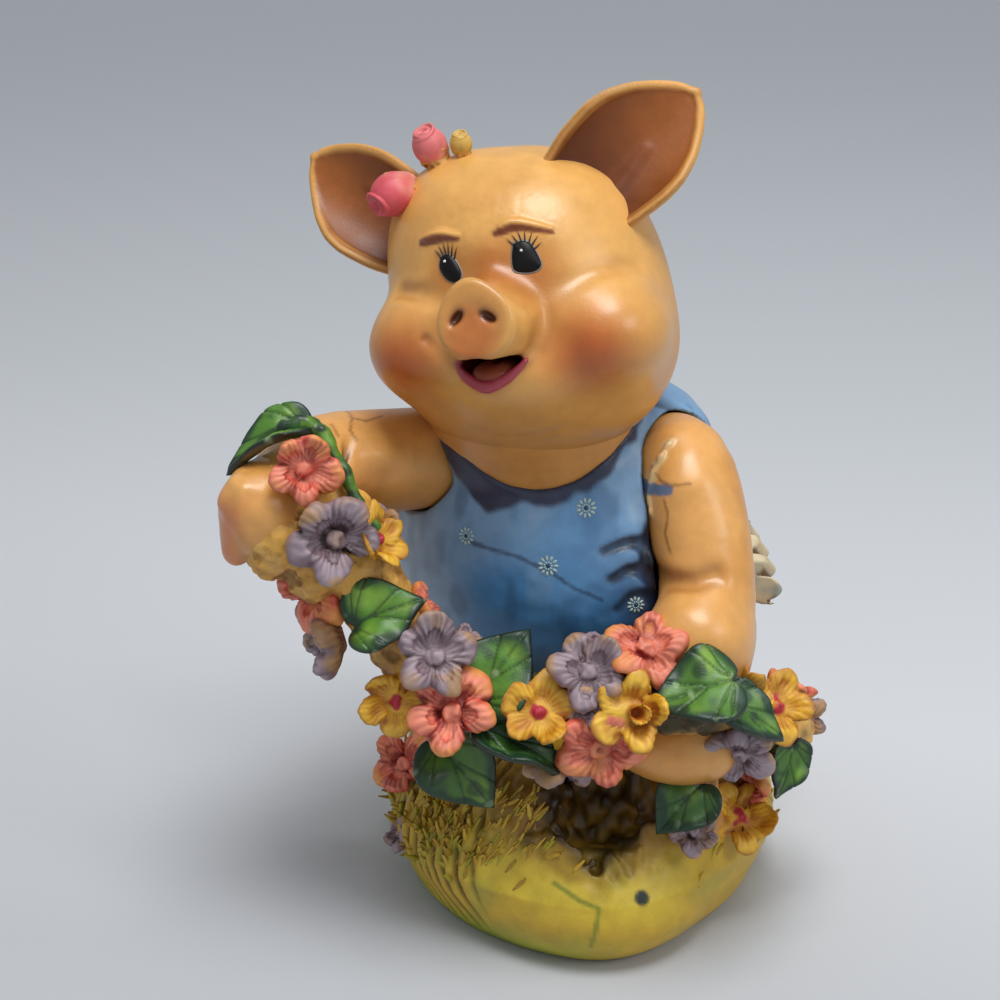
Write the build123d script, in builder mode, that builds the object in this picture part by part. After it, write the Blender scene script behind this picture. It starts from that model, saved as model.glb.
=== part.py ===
"""A cast pig figurine in a short blue dress, kneeling on a grass mound and holding up a garland of flowers.

The origin is the middle of the mound's flat underside. +Z is up, the pig faces -Y and its left hand is at +X.
"""
import os
from math import cos, radians, sin

from build123d import *

os.makedirs("parts", exist_ok=True)

# Grass mound: its overall size, and ovals as shares of height, width and depth
base_width = 73.0
base_depth = 80.0
base_height = 33.0
base_shares = ((0.00, 0.94, 0.94), (0.10, 0.99, 0.99), (0.34, 1.00, 1.00), (0.60, 0.95, 0.93),
               (0.82, 0.86, 0.84), (1.00, 0.66, 0.66))
hollow_width = 30.0
hollow_depth = 16.0
hollow_height = 18.0
hollow_side = 12.0
hollow_rise_share = 0.72

# Rump and legs under the dress, sunk into the mound
hip_width = 58.0
hip_depth = 54.0
hip_height = 50.0
hip_set_back = 10.0
hip_sink = 15.0

# Dress: ovals as shares of height, width, depth and lean, and of how far back their middle lies
dress_width = 65.0
dress_depth = 52.0
dress_height = 64.0
dress_rise = 30.0
dress_lean = 5.0
dress_shares = ((0.00, 0.88, 0.90, 0.00, 1.0), (0.22, 0.97, 0.99, 0.30, 0.9), (0.45, 1.00, 1.00, 0.60, 0.6),
                (0.63, 0.94, 0.92, 0.80, 0.5), (0.78, 0.84, 0.80, 0.90, 0.6), (0.90, 0.74, 0.68, 1.00, 0.8),
                (0.97, 0.56, 0.50, 1.00, 0.9), (1.00, 0.30, 0.28, 1.00, 0.9))
hem_slope = 38.0
hem_rise = 20.0

# Pleated frill round the hem
frill_height = 5.5
frill_reach = 2.6
frill_flare = 1.2
pleat_depth = 1.5
pleat_count = 58
frill_front_share = 0.10
frill_back_share = 0.07
frill_depth_share = 0.56

# Neck and head: the head's middle, and how far the face is turned, raised and tipped
neck_width = 38.0
neck_depth = 33.0
neck_height = 40.0
neck_set_back = 2.5
head_side = 9.6
head_forward = 3.0
head_rise = 15.0
head_turn = 5.5
head_raise = 16.0
head_roll = 9.0
skull_width = 49.5
skull_depth = 45.0
skull_height = 44.0
skull_rise = 6.0
jaw_width = 50.0
jaw_depth = 43.0
jaw_height = 38.0
jaw_drop = 7.0
cheek_radius = 10.5
cheek_spread = 15.5
cheek_forward = 10.5
cheek_drop = 6.0
snout_reach = 33.0
snout_root_radius = 9.0
snout_tip_radius = 7.0
snout_drop = 2.0
nostril_length = 3.8
nostril_width = 1.7
nostril_spread = 2.6
nostril_slant = 62.0
nostril_depth = 2.4
mouth_width = 15.0
mouth_height = 7.0
mouth_depth = 8.0
mouth_drop = 10.3

# Ears: a leaf outline cut from a curved trough
ear_length = 24.0
ear_width = 20.0
ear_root = 5.0
ear_thickness = 2.2
ear_cup_radius = 13.0
ear_foot_share = 0.30
ear_widest_share = 0.45
left_ear_spread = 11.5
left_ear_rise = 20.0
left_ear_lift = 34.0
left_ear_sweep = 12.0
right_ear_spread = 18.0
right_ear_rise = 16.5
right_ear_lift = 40.0
right_ear_sweep = 4.0

# Rosebuds beside the right ear: azimuth and rise on the skull in degrees, and size as a share
bud_radius = 4.0
bud_place_shares = (("rosebud_low", 213, 34, 1.00), ("rosebud_high", 216, 55, 0.85), ("rosebud_small", 238, 68, 0.50))
bud_shares = ((-0.60, 0.50), (0.20, 0.95), (0.85, 0.90), (1.40, 0.60), (1.60, 0.62))
lip_share = 0.45
lip_taper = 12.0

# Arms, from inside the shoulder to the fist
arm_radius = 8.6
shoulder_rise = 49.0
shoulder_set_back = 7.0
left_shoulder_out = 17.0
left_reach_out = 10.6
left_reach_forward = 30.8
left_drop = 38.6
left_arm_shares = ((0.00, 0.00, 0.00, 1.00), (0.50, 0.27, -0.07, 1.00), (0.92, 0.47, 0.13, 1.00),
                   (1.13, 0.66, 0.43, 0.95), (1.12, 0.82, 0.69, 0.92), (1.00, 1.00, 1.00, 0.90))
right_shoulder_out = 13.0
right_reach_out = 32.0
right_reach_forward = 42.0
right_lift = 5.0
right_arm_shares = ((0.00, 0.00, 0.00, 1.05), (0.28, 0.23, 0.30, 1.08), (0.58, 0.45, 0.64, 1.05),
                    (0.78, 0.60, 0.96, 1.00), (0.91, 0.82, 0.72, 0.95), (1.00, 1.00, 0.04, 0.95))
fist_radius = 8.7
thumb_radius = 4.0
thumb_side_share = 0.30
thumb_drop_share = 0.80

# Garland rope: stations as shares of the way from the right fist to the left, reach, height and radius
rope_radius = 5.6
rope_reach = 31.0
press_clearance = 0.1
rope_shares = ((0.07, 1.00, 1.18, 1.1), (0.18, 1.01, 0.94, 1.3), (0.26, 1.03, 0.66, 1.2), (0.34, 1.06, 0.42, 1.1),
               (0.47, 1.06, 0.27, 1.0), (0.62, 1.02, 0.20, 1.0), (0.76, 0.98, 0.20, 1.0), (0.90, 0.95, 0.22, 1.0),
               (1.03, 0.90, 0.22, 1.0), (1.15, 0.58, 0.10, 0.9), (1.24, 0.25, -0.14, 0.7))

# Blooms on the rope: kind, share of its length, turn from the front in degrees, spin, and size as a share
bloom_radius = 6.4
petal_count = 5
rope_bloom_shares = (
    ("pink", 0.01, 15, 10, 0.95), ("lilac", 0.09, 0, 30, 1.05), ("yellow", 0.115, 80, 0, 0.95),
    ("pink", 0.17, -72, 20, 0.95), ("lilac", 0.235, -78, 0, 1.00), ("lilac", 0.335, 40, 15, 1.05),
    ("lilac", 0.375, 88, 0, 0.75), ("yellow", 0.335, -38, 25, 1.05), ("pink", 0.395, -2, 5, 1.15),
    ("yellow", 0.52, 8, 0, 1.10), ("lilac", 0.585, 60, 20, 1.00), ("lilac", 0.605, 105, 0, 0.70),
    ("pink", 0.655, 85, 30, 1.15), ("lilac", 0.565, 5, 0, 0.65), ("yellow", 0.64, 12, 18, 1.10),
    ("pink", 0.60, -38, 0, 1.15), ("yellow", 0.87, 55, 10, 1.10), ("lilac", 0.81, -44, 0, 0.95),
    ("lilac", 0.54, -82, 24, 0.95))
# Blooms on the mound: kind, bearing in degrees, height as a share, spin and size
mound_bloom_shares = (
    ("yellow", -27, 0.62, 0, 1.05), ("pink", -17, 0.80, 15, 0.80), ("lilac", -44, 0.60, 0, 0.80),
    ("pink", 204, 0.70, 20, 1.15), ("lilac", 209, 0.34, 0, 0.80))
puff_share = 0.42
flat_share = 0.30
notch_share = 0.62
petal_roundness = 0.6
bloom_back_share = 0.55
dish_share = 0.55
dish_rim_share = 0.84
dish_floor_share = 0.40
eye_share = 0.22
eye_taper = 15.0
stalk_share = 0.12
stalk_width_share = 0.30

# Leaves: half an outline as shares of the length, then places on the rope as share, turn, heading and size
leaf_length = 13.0
leaf_thickness = 1.1
leaf_fold = 14.0
leaf_lift = 8.0
leaf_shares = ((0.00, 0.00), (-0.06, 0.16), (0.06, 0.34), (0.30, 0.42), (0.58, 0.34), (0.82, 0.16), (1.00, 0.00))
rope_leaf_shares = (
    (0.18, 25, 30, 1.10), (0.44, 60, 60, 1.10), (0.48, -28, 0, 1.20), (0.43, -72, 200, 1.10),
    (0.685, 45, 10, 1.20), (0.755, 20, 0, 1.15), (0.90, -5, -50, 1.00), (0.88, -60, -30, 0.95))
mound_leaf_shares = ((-53, 0.84, 265, 1.15),)
hand_leaf_share = 1.15
hand_leaf_heading = 214.0
hand_leaf_dip = 17.0
hand_leaf_seat_share = 0.75

# Vine over the right hand, and the clay foot under the left one
vine_radius = 1.1
vine_shares = (0.00, 0.06, 0.12, 0.19)
vine_turn = 85.0
foot_radius = 5.0
foot_height = 12.0

# Curled tail
tail_radius = 1.5
tail_curl_radius = 3.6
tail_sweep = 300.0
tail_sides = 6


def ellipsoid(width, depth, height):
    """a ball drawn out to three widths"""
    with BuildPart() as form:
        Sphere(width / 2)
        scale(by=(1, depth / width, height / width))
    return form.part


def limb(route, radii, across):
    """a round limb through circles square to its route"""
    with BuildPart() as form:
        for step, radius in enumerate(radii):
            place = step / (len(radii) - 1)
            with BuildSketch(Plane(origin=route @ place, x_dir=across, z_dir=route % place)):
                Circle(radius)
        loft()
    return form.part


def through(points):
    """a smooth route through points"""
    with BuildLine() as route:
        Spline(*points)
    return route.line


def clear(first, second):
    """whether the boxes round two pieces stay apart"""
    one, two = first.bounding_box(), second.bounding_box()
    return (one.min.X > two.max.X or two.min.X > one.max.X or one.min.Y > two.max.Y
            or two.min.Y > one.max.Y or one.min.Z > two.max.Z or two.min.Z > one.max.Z)


def finish(form, name, seats=()):
    """trims a form against what carries it, keeps its largest solid and writes it under its name"""
    near = [seat for seat in seats if not clear(form, seat)]
    with BuildPart() as trimmed:
        add(form, clean=False)
        if near:
            add(near, mode=Mode.SUBTRACT, clean=False)
    piece = Part() + max(trimmed.part.solids(), key=lambda solid: solid.volume)
    piece.label = name
    export_step(piece, f"parts/{name}.step")
    return piece


# Rump: a plump oval that kneels in the mound
hip_middle = Vector(0, hip_set_back, base_height + hip_height / 2 - hip_sink)
hips = finish(Pos(hip_middle) * ellipsoid(hip_width, hip_depth, hip_height), "hips")

# Mound: ovals from the flat foot to a narrower top, hollowed in front under the garland
hollow_middle = Vector(hollow_side, -base_depth / 2 + hollow_depth / 3, base_height * hollow_rise_share)
with BuildPart() as mound:
    for height_share, width_share, depth_share in base_shares:
        with BuildSketch(Plane.XY.offset(base_height * height_share)):
            Ellipse(base_width / 2 * width_share, base_depth / 2 * depth_share)
    loft()
    with Locations(hollow_middle):
        add(ellipsoid(hollow_width, hollow_depth, hollow_height), mode=Mode.SUBTRACT)
grass_base = finish(mound.part, "grass_base", [hips])

# Head: skull, jaw and puffed cheeks in one, with the snout on a cone
head_middle = Vector(-head_side, -head_forward, dress_rise + dress_height + head_rise)
head_spot = (Location(head_middle) * Location((0, 0, 0), (0, 0, -head_turn))
             * Location((0, 0, 0), (-head_raise, 0, 0)) * Location((0, 0, 0), (0, -head_roll, 0)))
snout_plane = Plane(head_spot * Location((0, 0, -snout_drop), (90, 0, 0)))
with BuildPart() as face:
    with Locations(head_spot * Location((0, 0, skull_rise))):
        add(ellipsoid(skull_width, skull_depth, skull_height))
    with Locations(head_spot * Location((0, 0, -jaw_drop))):
        add(ellipsoid(jaw_width, jaw_depth, jaw_height))
    for side in (-1, 1):
        with Locations(head_spot * Location((side * cheek_spread, -cheek_forward, -cheek_drop))):
            Sphere(cheek_radius)
    with BuildSketch(snout_plane.offset(skull_depth / 4)):
        Circle(snout_root_radius)
    with BuildSketch(snout_plane.offset(snout_reach)):
        Circle(snout_tip_radius)
    loft(ruled=True)
    for side in (-1, 1):
        with BuildSketch(snout_plane.offset(snout_reach)):
            with Locations(Location((side * nostril_spread, 0), -side * nostril_slant)):
                SlotOverall(nostril_length, nostril_width)
        extrude(amount=-nostril_depth, mode=Mode.SUBTRACT)
    with Locations(head_spot * Location((0, -jaw_depth / 2, -mouth_drop))):
        add(ellipsoid(mouth_width, mouth_depth, mouth_height), mode=Mode.SUBTRACT)
head = finish(face.part, "head")

# Neck: rises out of the dress, whose neckline is where the two meet
neck_middle = head_middle + Vector(0, neck_set_back, -neck_height / 2)
neck = finish(Pos(neck_middle) * ellipsoid(neck_width, neck_depth, neck_height), "neck", [head])

# Arms: limbs from the shoulders to closed fists
left_shoulder = Vector(left_shoulder_out - dress_lean, shoulder_set_back, dress_rise + shoulder_rise)
left_fist = left_shoulder + Vector(left_reach_out, -left_reach_forward, -left_drop)
left_route = through([left_shoulder + Vector(left_reach_out * out, -left_reach_forward * forward, -left_drop * down)
                      for out, forward, down, _ in left_arm_shares])
right_shoulder = Vector(-right_shoulder_out - dress_lean, shoulder_set_back, dress_rise + shoulder_rise)
right_fist = right_shoulder + Vector(-right_reach_out, -right_reach_forward, 0)
right_route = through([right_shoulder + Vector(-right_reach_out * out, -right_reach_forward * forward, right_lift * up)
                       for out, forward, up, _ in right_arm_shares])

# Garland rope: the clay core that both hands hold
hand_span = left_fist.X - right_fist.X
hand_drop = right_fist.Z - left_fist.Z
rope_route = through([Vector(right_fist.X + hand_span * across, -rope_reach * reach, left_fist.Z + hand_drop * height)
                      for across, reach, height, _ in rope_shares])
rope = finish(limb(rope_route, [rope_radius * row[3] for row in rope_shares], (0, 1, 0)), "garland_rope", [grass_base])

with BuildPart() as left_limb:
    add(limb(left_route, [arm_radius * row[3] for row in left_arm_shares], (1, 0, 0)))
    with Locations(left_fist):
        Sphere(fist_radius)
arm_left = finish(left_limb.part, "arm_left", [hips, head, neck, rope, grass_base])
with BuildPart() as right_limb:
    add(limb(right_route, [arm_radius * row[3] for row in right_arm_shares], (0, 0, 1)))
    with Locations(right_fist):
        Sphere(fist_radius)
    with Locations(right_fist - Vector(fist_radius * thumb_side_share, 0, fist_radius * thumb_drop_share)):
        Sphere(thumb_radius)
arm_right = finish(right_limb.part, "arm_right", [head, neck, rope])

# Dress: ovals from the hem up to the shoulders, leaning to the pig's right as they rise
hem_plane = Plane(origin=(0, hip_set_back, dress_rise + hem_rise),
                  x_dir=(1, 0, 0), z_dir=(0, -sin(radians(hem_slope)), cos(radians(hem_slope))))
with BuildPart() as gown:
    for height_share, width_share, depth_share, lean_share, back_share in dress_shares:
        with BuildSketch(Plane.XY.offset(dress_rise + dress_height * height_share)):
            with Locations((-dress_lean * lean_share, hip_set_back * back_share)):
                Ellipse(dress_width / 2 * width_share, dress_depth / 2 * depth_share)
    loft()
    split(bisect_by=hem_plane, keep=Keep.TOP)
dress = finish(gown.part, "dress", [hips, neck, head, arm_left, arm_right, grass_base])


def ear(side, spread, rise, lift, sweep):
    """a cupped ear with its hollow forward: the outline cut from a trough that runs along it"""
    along = Vector(side * cos(radians(lift)) * cos(radians(sweep)), cos(radians(lift)) * sin(radians(sweep)),
                   sin(radians(lift)))
    facing = Vector(side * sin(radians(sweep)), -cos(radians(sweep)), 0)
    plane = Plane(head_spot * Plane(origin=(side * spread, 0, rise), x_dir=along, z_dir=facing).location)
    trough = Plane(plane.location * Location((-ear_root, 0, ear_cup_radius), (0, 90, 0)))
    with BuildPart() as form:
        with BuildSketch(trough):
            Circle(ear_cup_radius)
            Circle(ear_cup_radius - ear_thickness, mode=Mode.SUBTRACT)
        extrude(amount=ear_root + ear_length)
        with BuildSketch(plane):
            with BuildLine():
                foot = Line((-ear_root, -ear_width * ear_foot_share), (-ear_root, ear_width * ear_foot_share))
                ThreePointArc(foot @ 1, (ear_length * ear_widest_share, ear_width / 2), (ear_length, 0))
                ThreePointArc((ear_length, 0), (ear_length * ear_widest_share, -ear_width / 2), foot @ 0)
            make_face()
        extrude(amount=ear_cup_radius, mode=Mode.INTERSECT)
    return form.part


ear_left = finish(ear(1, left_ear_spread, left_ear_rise, left_ear_lift, left_ear_sweep), "ear_left", [head])
ear_right = finish(ear(-1, right_ear_spread, right_ear_rise, right_ear_lift, right_ear_sweep), "ear_right", [head])

# Rosebuds: plump buds with a rolled lip, standing on the skull
for name, bearing, rise, size in bud_place_shares:
    way = Vector(cos(radians(rise)) * cos(radians(bearing)), cos(radians(rise)) * sin(radians(bearing)),
                 sin(radians(rise)))
    reach = 1 / ((way.X * 2 / skull_width) ** 2 + (way.Y * 2 / skull_depth) ** 2
                 + (way.Z * 2 / skull_height) ** 2) ** 0.5
    bud_plane = Plane(head_spot * Plane(origin=way * reach + Vector(0, 0, skull_rise), z_dir=way).location)
    with BuildPart() as bud:
        for lift_share, spread_share in bud_shares:
            with BuildSketch(bud_plane.offset(bud_radius * size * lift_share)):
                RegularPolygon(bud_radius * size * spread_share, 2 * petal_count)
        loft(ruled=True)
        with BuildSketch(bud_plane.offset(bud_radius * size * bud_shares[-1][0])):
            RegularPolygon(bud_radius * size * lip_share, petal_count)
        extrude(amount=-bud_radius * size * lip_share, taper=lip_taper, mode=Mode.SUBTRACT)
    finish(bud.part, name, [head, ear_right])

# Frill: a pleated band round the back of the hem, flared downwards
frill_ring = Plane(hem_plane.location * Location((-dress_lean / 2, -dress_depth * frill_back_share, 0)))
with BuildPart() as ruffle:
    for rise, flare in ((-frill_height / 2, frill_flare), (frill_height / 2, 0)):
        with BuildSketch(frill_ring.offset(rise)):
            with BuildLine():
                Polyline([((dress_width / 2 + frill_reach + flare + pleat_depth * fold) * cos(radians(turn)),
                           (dress_depth * frill_depth_share + frill_reach + flare + pleat_depth * fold) * sin(radians(turn)))
                          for turn, fold in ((180 * step / pleat_count, step % 2 - 0.5)
                                             for step in range(2 * pleat_count))], close=True)
            make_face()
    loft(ruled=True)
    split(bisect_by=Plane.XZ.offset(-hip_set_back - dress_depth * frill_front_share), keep=Keep.BOTTOM)
frill = finish(ruffle.part, "dress_frill", [gown.part, hips])

# Tail: a curl on the rump
tail_middle = Vector(0, hip_set_back + hip_depth / 2 + tail_radius / 2, hip_middle.Z)
with BuildPart() as curl:
    with BuildSketch(Plane(origin=tail_middle + Vector(tail_curl_radius, 0, 0), z_dir=(0, 0, 1))):
        RegularPolygon(tail_radius, tail_sides)
    revolve(axis=Axis(tail_middle, (0, 1, 0)), revolution_arc=tail_sweep)
finish(curl.part, "tail", [hips])


def rope_spot(share, turn, spin):
    """a plane on the rope's surface, turned upwards from the front by an angle"""
    run = (rope_route % share).normalized()
    front = (Vector(0, -1, 0) - run * run.dot(Vector(0, -1, 0))).normalized()
    way = front * cos(radians(turn)) + front.cross(run) * sin(radians(turn))
    station = share * (len(rope_shares) - 1)
    before, after = rope_shares[int(station)][3], rope_shares[int(station) + 1][3]
    reach = rope_radius * (before + (after - before) * (station - int(station))) + press_clearance
    return Plane(origin=rope_route @ share + way * reach, x_dir=run, z_dir=way).rotated((0, 0, spin))


def mound_spot(bearing, height_share, spin):
    """a plane on the mound's side"""
    below, above = next((low, high) for low, high in zip(base_shares, base_shares[1:]) if high[0] >= height_share)
    part_way = (height_share - below[0]) / (above[0] - below[0])
    spread = below[1] + (above[1] - below[1]) * part_way
    way = Vector(cos(radians(bearing)), sin(radians(bearing)), height_share)
    place = Vector(base_width / 2 * spread * cos(radians(bearing)), base_depth / 2 * spread * sin(radians(bearing)),
                   base_height * height_share)
    return Plane(origin=place, x_dir=Vector(0, 0, 1).cross(way), z_dir=way).rotated((0, 0, spin))


def petal_outline(radius):
    """the outline of five round petals, four chords to a petal"""
    half = 180 / petal_count
    corners = []
    for step in range(4 * petal_count):
        angle = step * half / 2
        swell = (abs(cos(radians(angle * petal_count / 2)))) ** petal_roundness
        reach = radius * (notch_share + (1 - notch_share) * swell)
        corners.append((reach * cos(radians(angle)), reach * sin(radians(angle))))
    with BuildSketch() as outline:
        with BuildLine():
            Polyline(corners, close=True)
        make_face()
    return outline.sketch


def bloom(kind):
    """five petals opening from a narrow back, dished in front round a small eye, on a stalk that stands at zero"""
    depth = bloom_radius * (flat_share if kind == "yellow" else puff_share)
    back = bloom_radius * stalk_share
    floor = back + depth * (1 - dish_share)
    with BuildPart() as form:
        for rise, spread in ((back, bloom_back_share), (back + depth, 1)):
            with BuildSketch(Plane.XY.offset(rise)):
                add(petal_outline(bloom_radius * spread))
        loft(ruled=True, clean=False)
        for rise, spread in ((floor, dish_floor_share), (back + depth, dish_rim_share)):
            with BuildSketch(Plane.XY.offset(rise)):
                add(petal_outline(bloom_radius * spread))
        loft(ruled=True, mode=Mode.SUBTRACT, clean=False)
        with BuildSketch(Plane.XY.offset(floor)):
            RegularPolygon(bloom_radius * eye_share, petal_count)
        extrude(amount=depth, taper=eye_taper, clean=False)
        with BuildSketch(Plane.XY):
            RegularPolygon(bloom_radius * stalk_width_share, petal_count)
        extrude(amount=back, clean=False)
    return form.part


def at_size(form, spot, size):
    """a copy of a form at a size share, stood on a spot"""
    with BuildPart() as copy:
        add(form, clean=False)
        scale(by=size)
    return copy.part.moved(spot.location)


def leaf():
    """a leaf along the x axis from a foot at zero, its two halves folded up from the midrib"""
    with BuildPart() as form:
        for side in (-1, 1):
            blade = Plane(Location((0, 0, 0), (side * leaf_fold, -leaf_lift, 0)))
            with BuildSketch(blade):
                with BuildLine():
                    Polyline([(leaf_length * along, side * leaf_length * out) for along, out in leaf_shares],
                             close=True)
                make_face()
            extrude(amount=leaf_thickness, clean=False)
    return form.part


# Garland: blooms and leaves pressed on the rope and the mound, each trimmed round those laid before it
blooms = {kind: bloom(kind) for kind in ("pink", "lilac", "yellow")}
counts = {kind: 0 for kind in blooms}
hands = [arm_left, arm_right]
laid = []
for kind, share, turn, spin, size in rope_bloom_shares:
    counts[kind] += 1
    form = at_size(blooms[kind], rope_spot(share, turn, spin), size)
    laid.append(finish(form, f"flower_{kind}_{counts[kind]}", [*hands, *laid]))
for kind, bearing, height_share, spin, size in mound_bloom_shares:
    counts[kind] += 1
    form = at_size(blooms[kind], mound_spot(bearing, height_share, spin), size)
    laid.append(finish(form, f"flower_{kind}_{counts[kind]}", [grass_base, *laid]))
for number, (share, turn, heading, size) in enumerate(rope_leaf_shares, 1):
    form = at_size(leaf(), rope_spot(share, turn, heading), size)
    laid.append(finish(form, f"leaf_{number}", [rope, *hands, *laid]))
for bearing, height_share, heading, size in mound_leaf_shares:
    form = at_size(leaf(), mound_spot(bearing, height_share, heading), size)
    laid.append(finish(form, "leaf_mound", [grass_base, *hands, *laid]))
hand_top = Location(rope_route @ 0 + Vector(0, 0, rope_radius * hand_leaf_seat_share))
hand_leaf_spot = Plane(hand_top * Location((0, 0, 0), (0, 0, hand_leaf_heading)) * Location((0, 0, 0), (0, hand_leaf_dip, 0)))
laid.append(finish(at_size(leaf(), hand_leaf_spot, hand_leaf_share), "leaf_hand", [rope, *hands, *laid]))

# Vine down the top of the rope, and the clay foot under the left fist
vine_route = through([rope_spot(share, vine_turn, 0).origin + Vector(0, 0, vine_radius) for share in vine_shares])
laid.append(finish(limb(vine_route, [vine_radius for _ in vine_shares], (0, 1, 0)), "vine", [rope, *hands, *laid]))
with BuildPart() as pillar:
    with Locations((left_fist.X, left_fist.Y + foot_radius / 2, left_fist.Z - fist_radius - foot_height / 2)):
        Cylinder(foot_radius, foot_height)
finish(pillar.part, "garland_foot", [grass_base, *laid])
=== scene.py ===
"""A cast and hand-painted pig figurine with a garland of moulded flowers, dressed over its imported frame."""

import bpy
import numpy as np
from mathutils import Matrix, Vector


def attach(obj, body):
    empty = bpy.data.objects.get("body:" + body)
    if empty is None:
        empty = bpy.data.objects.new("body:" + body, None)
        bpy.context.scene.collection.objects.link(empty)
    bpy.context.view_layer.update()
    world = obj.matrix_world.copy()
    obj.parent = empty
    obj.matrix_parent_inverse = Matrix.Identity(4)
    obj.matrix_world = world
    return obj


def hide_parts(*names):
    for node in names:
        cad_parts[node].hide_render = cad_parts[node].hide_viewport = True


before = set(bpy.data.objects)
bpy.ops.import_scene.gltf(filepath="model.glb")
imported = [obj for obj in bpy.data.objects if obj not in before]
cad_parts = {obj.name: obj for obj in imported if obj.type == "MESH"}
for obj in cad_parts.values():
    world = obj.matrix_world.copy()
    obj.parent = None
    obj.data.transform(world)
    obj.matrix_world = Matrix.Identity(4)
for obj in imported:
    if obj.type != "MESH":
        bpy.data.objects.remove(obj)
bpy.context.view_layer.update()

# Camera: it stands where the photograph was taken from, a little above and to the left of the pig.
# Places that are given in pixels are in the photograph's frame of 1000 by 1000.
MM = 0.001  # metres in a millimetre
target = np.array([-17.0, 4.0, 70.0])  # the point in mm that lies in the middle of the photograph
photo_distance = 345.0  # mm
photo_focus, photo_middle = 1866.0, 500.0  # pixels
in_front = 75.0  # mm from the target to where a ray starts, nearer to the camera than any piece
azimuth, rise = np.radians([12.0, 22.0])
back = np.array([np.sin(azimuth) * np.cos(rise), -np.cos(azimuth) * np.cos(rise), np.sin(rise)])
right = np.array([np.cos(azimuth), np.sin(azimuth), 0.0])
up = np.cross(back, right)
eye_point = target + photo_distance * back
camera = bpy.data.objects.new("camera", bpy.data.cameras.new("camera"))
bpy.context.scene.collection.objects.link(camera)
stand = np.column_stack([right, up, back, eye_point * MM])
camera.matrix_world = Matrix(np.vstack([stand, [0, 0, 0, 1]]).tolist())
camera.data.sensor_width = 36.0
camera.data.lens = camera.data.sensor_width * photo_focus / (2 * photo_middle)
camera.data.clip_start = 0.01
bpy.context.scene.camera = camera


def ray(pixel):
    """the way from the camera through a pixel of the photograph"""
    across, down = pixel
    return right * (across - photo_middle) / photo_focus + up * (photo_middle - down) / photo_focus - back


def seen_at(pixel, near):
    """the point in mm that shows at a pixel of the photograph, as deep as another point"""
    return eye_point + ray(pixel) * ((eye_point - near) @ back)


def seen_on(form, pixel):
    """the point in mm of a form's surface that shows at a pixel of the photograph"""
    way = ray(pixel) / np.linalg.norm(ray(pixel))
    place = eye_point + way * (photo_distance - in_front)
    nearest, found = 1e9, place
    for _ in range(90):
        gap = form(place[None].astype(np.float32))[0]
        if gap < nearest:
            nearest, found = gap, place
        place = place + way * np.clip(0.8 * gap, 0, 8)
    return found


# Grass mound: cast resin, combed into ribs at one side and round the back while the pattern was soft.
# It carries everything else, and its underside is ground flat.
mound_height = 33.0
mound_half_width, mound_half_depth = 36.5, 40.0
# shares of the height, and of the half width and half depth there
mound_rows = np.array([[0.00, 0.85, 0.87], [0.10, 0.92, 0.93], [0.30, 0.99, 0.99], [0.42, 1.00, 1.00],
                       [0.60, 0.95, 0.93], [0.82, 0.86, 0.84], [1.00, 0.66, 0.66]])
hollow_middle, hollow_radii = (7.5, -33, 28), (10.0, 11, 8.5)
fine = 1.0


def paint(code):
    """an sRGB hex colour as linear red, green and blue"""
    parts = np.array([int(code[i:i + 2], 16) for i in (1, 3, 5)]) / 255
    return np.where(parts <= 0.04045, parts / 12.92, ((parts + 0.055) / 1.055) ** 2.4)


def add_node(tree, kind, sockets=(), **settings):
    """adds a node, with settings by name and each socket given a value or another node's output"""
    made = tree.nodes.new(kind)
    for name, value in settings.items():
        setattr(made, name, value)
    for name, value in dict(sockets).items():
        if isinstance(value, tuple) and isinstance(value[0], bpy.types.Node):
            tree.links.new(value[0].outputs[value[1]], made.inputs[name])
        else:
            made.inputs[name].default_value = value
    return made


def egg(p, middle, radii, axes=None):
    """distance from an ellipsoid"""
    q = p - np.array(middle, np.float32)
    if axes is not None:
        q = q @ axes
    q = q / np.array(radii, np.float32)
    reach = np.sqrt((q * q).sum(-1)) + 1e-6
    q = q / np.array(radii, np.float32)
    return reach * (reach - 1) / (np.sqrt((q * q).sum(-1)) + 1e-6)


def strand(p, route, radii):
    """distance from a round limb along a route of points"""
    route = np.array(route, np.float32)
    nearest = None
    for start, end, thick, thin in zip(route, route[1:], radii, radii[1:]):
        run = end - start
        along = np.clip(((p - start) @ run) / (run @ run), 0, 1)
        away = p - start - along[:, None] * run
        away = np.sqrt((away * away).sum(-1)) - (thick + (thin - thick) * along)
        nearest = away if nearest is None else np.minimum(nearest, away)
    return nearest


def curve(points, count):
    """a smooth run of points through a few given ones"""
    points = np.array(points, float)
    padded = np.vstack([2 * points[0] - points[1], points, 2 * points[-1] - points[-2]])
    out = []
    for share in np.linspace(0, len(points) - 1, count):
        i = min(int(share), len(points) - 2)
        t = share - i
        a, b, c, d = padded[i:i + 4]
        out.append(0.5 * (2 * b + (c - a) * t + (2 * a - 5 * b + 4 * c - d) * t ** 2
                          + (3 * b - a - 3 * c + d) * t ** 3))
    return np.array(out)


def melt(first, second, soft):
    """two forms pressed together, with a fillet of a size in mm"""
    h = np.clip(0.5 + 0.5 * (second - first) / soft, 0, 1)
    return second * (1 - h) + first * h - soft * h * (1 - h)


def scoop(form, tool, soft):
    """a form with a tool pressed out of it"""
    return -melt(-form, tool, soft)


def step(value, low, high):
    """a soft step from 0 at low to 1 at high"""
    t = np.clip((value - low) / (high - low), 0, 1)
    return t * t * (3 - 2 * t)


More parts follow.
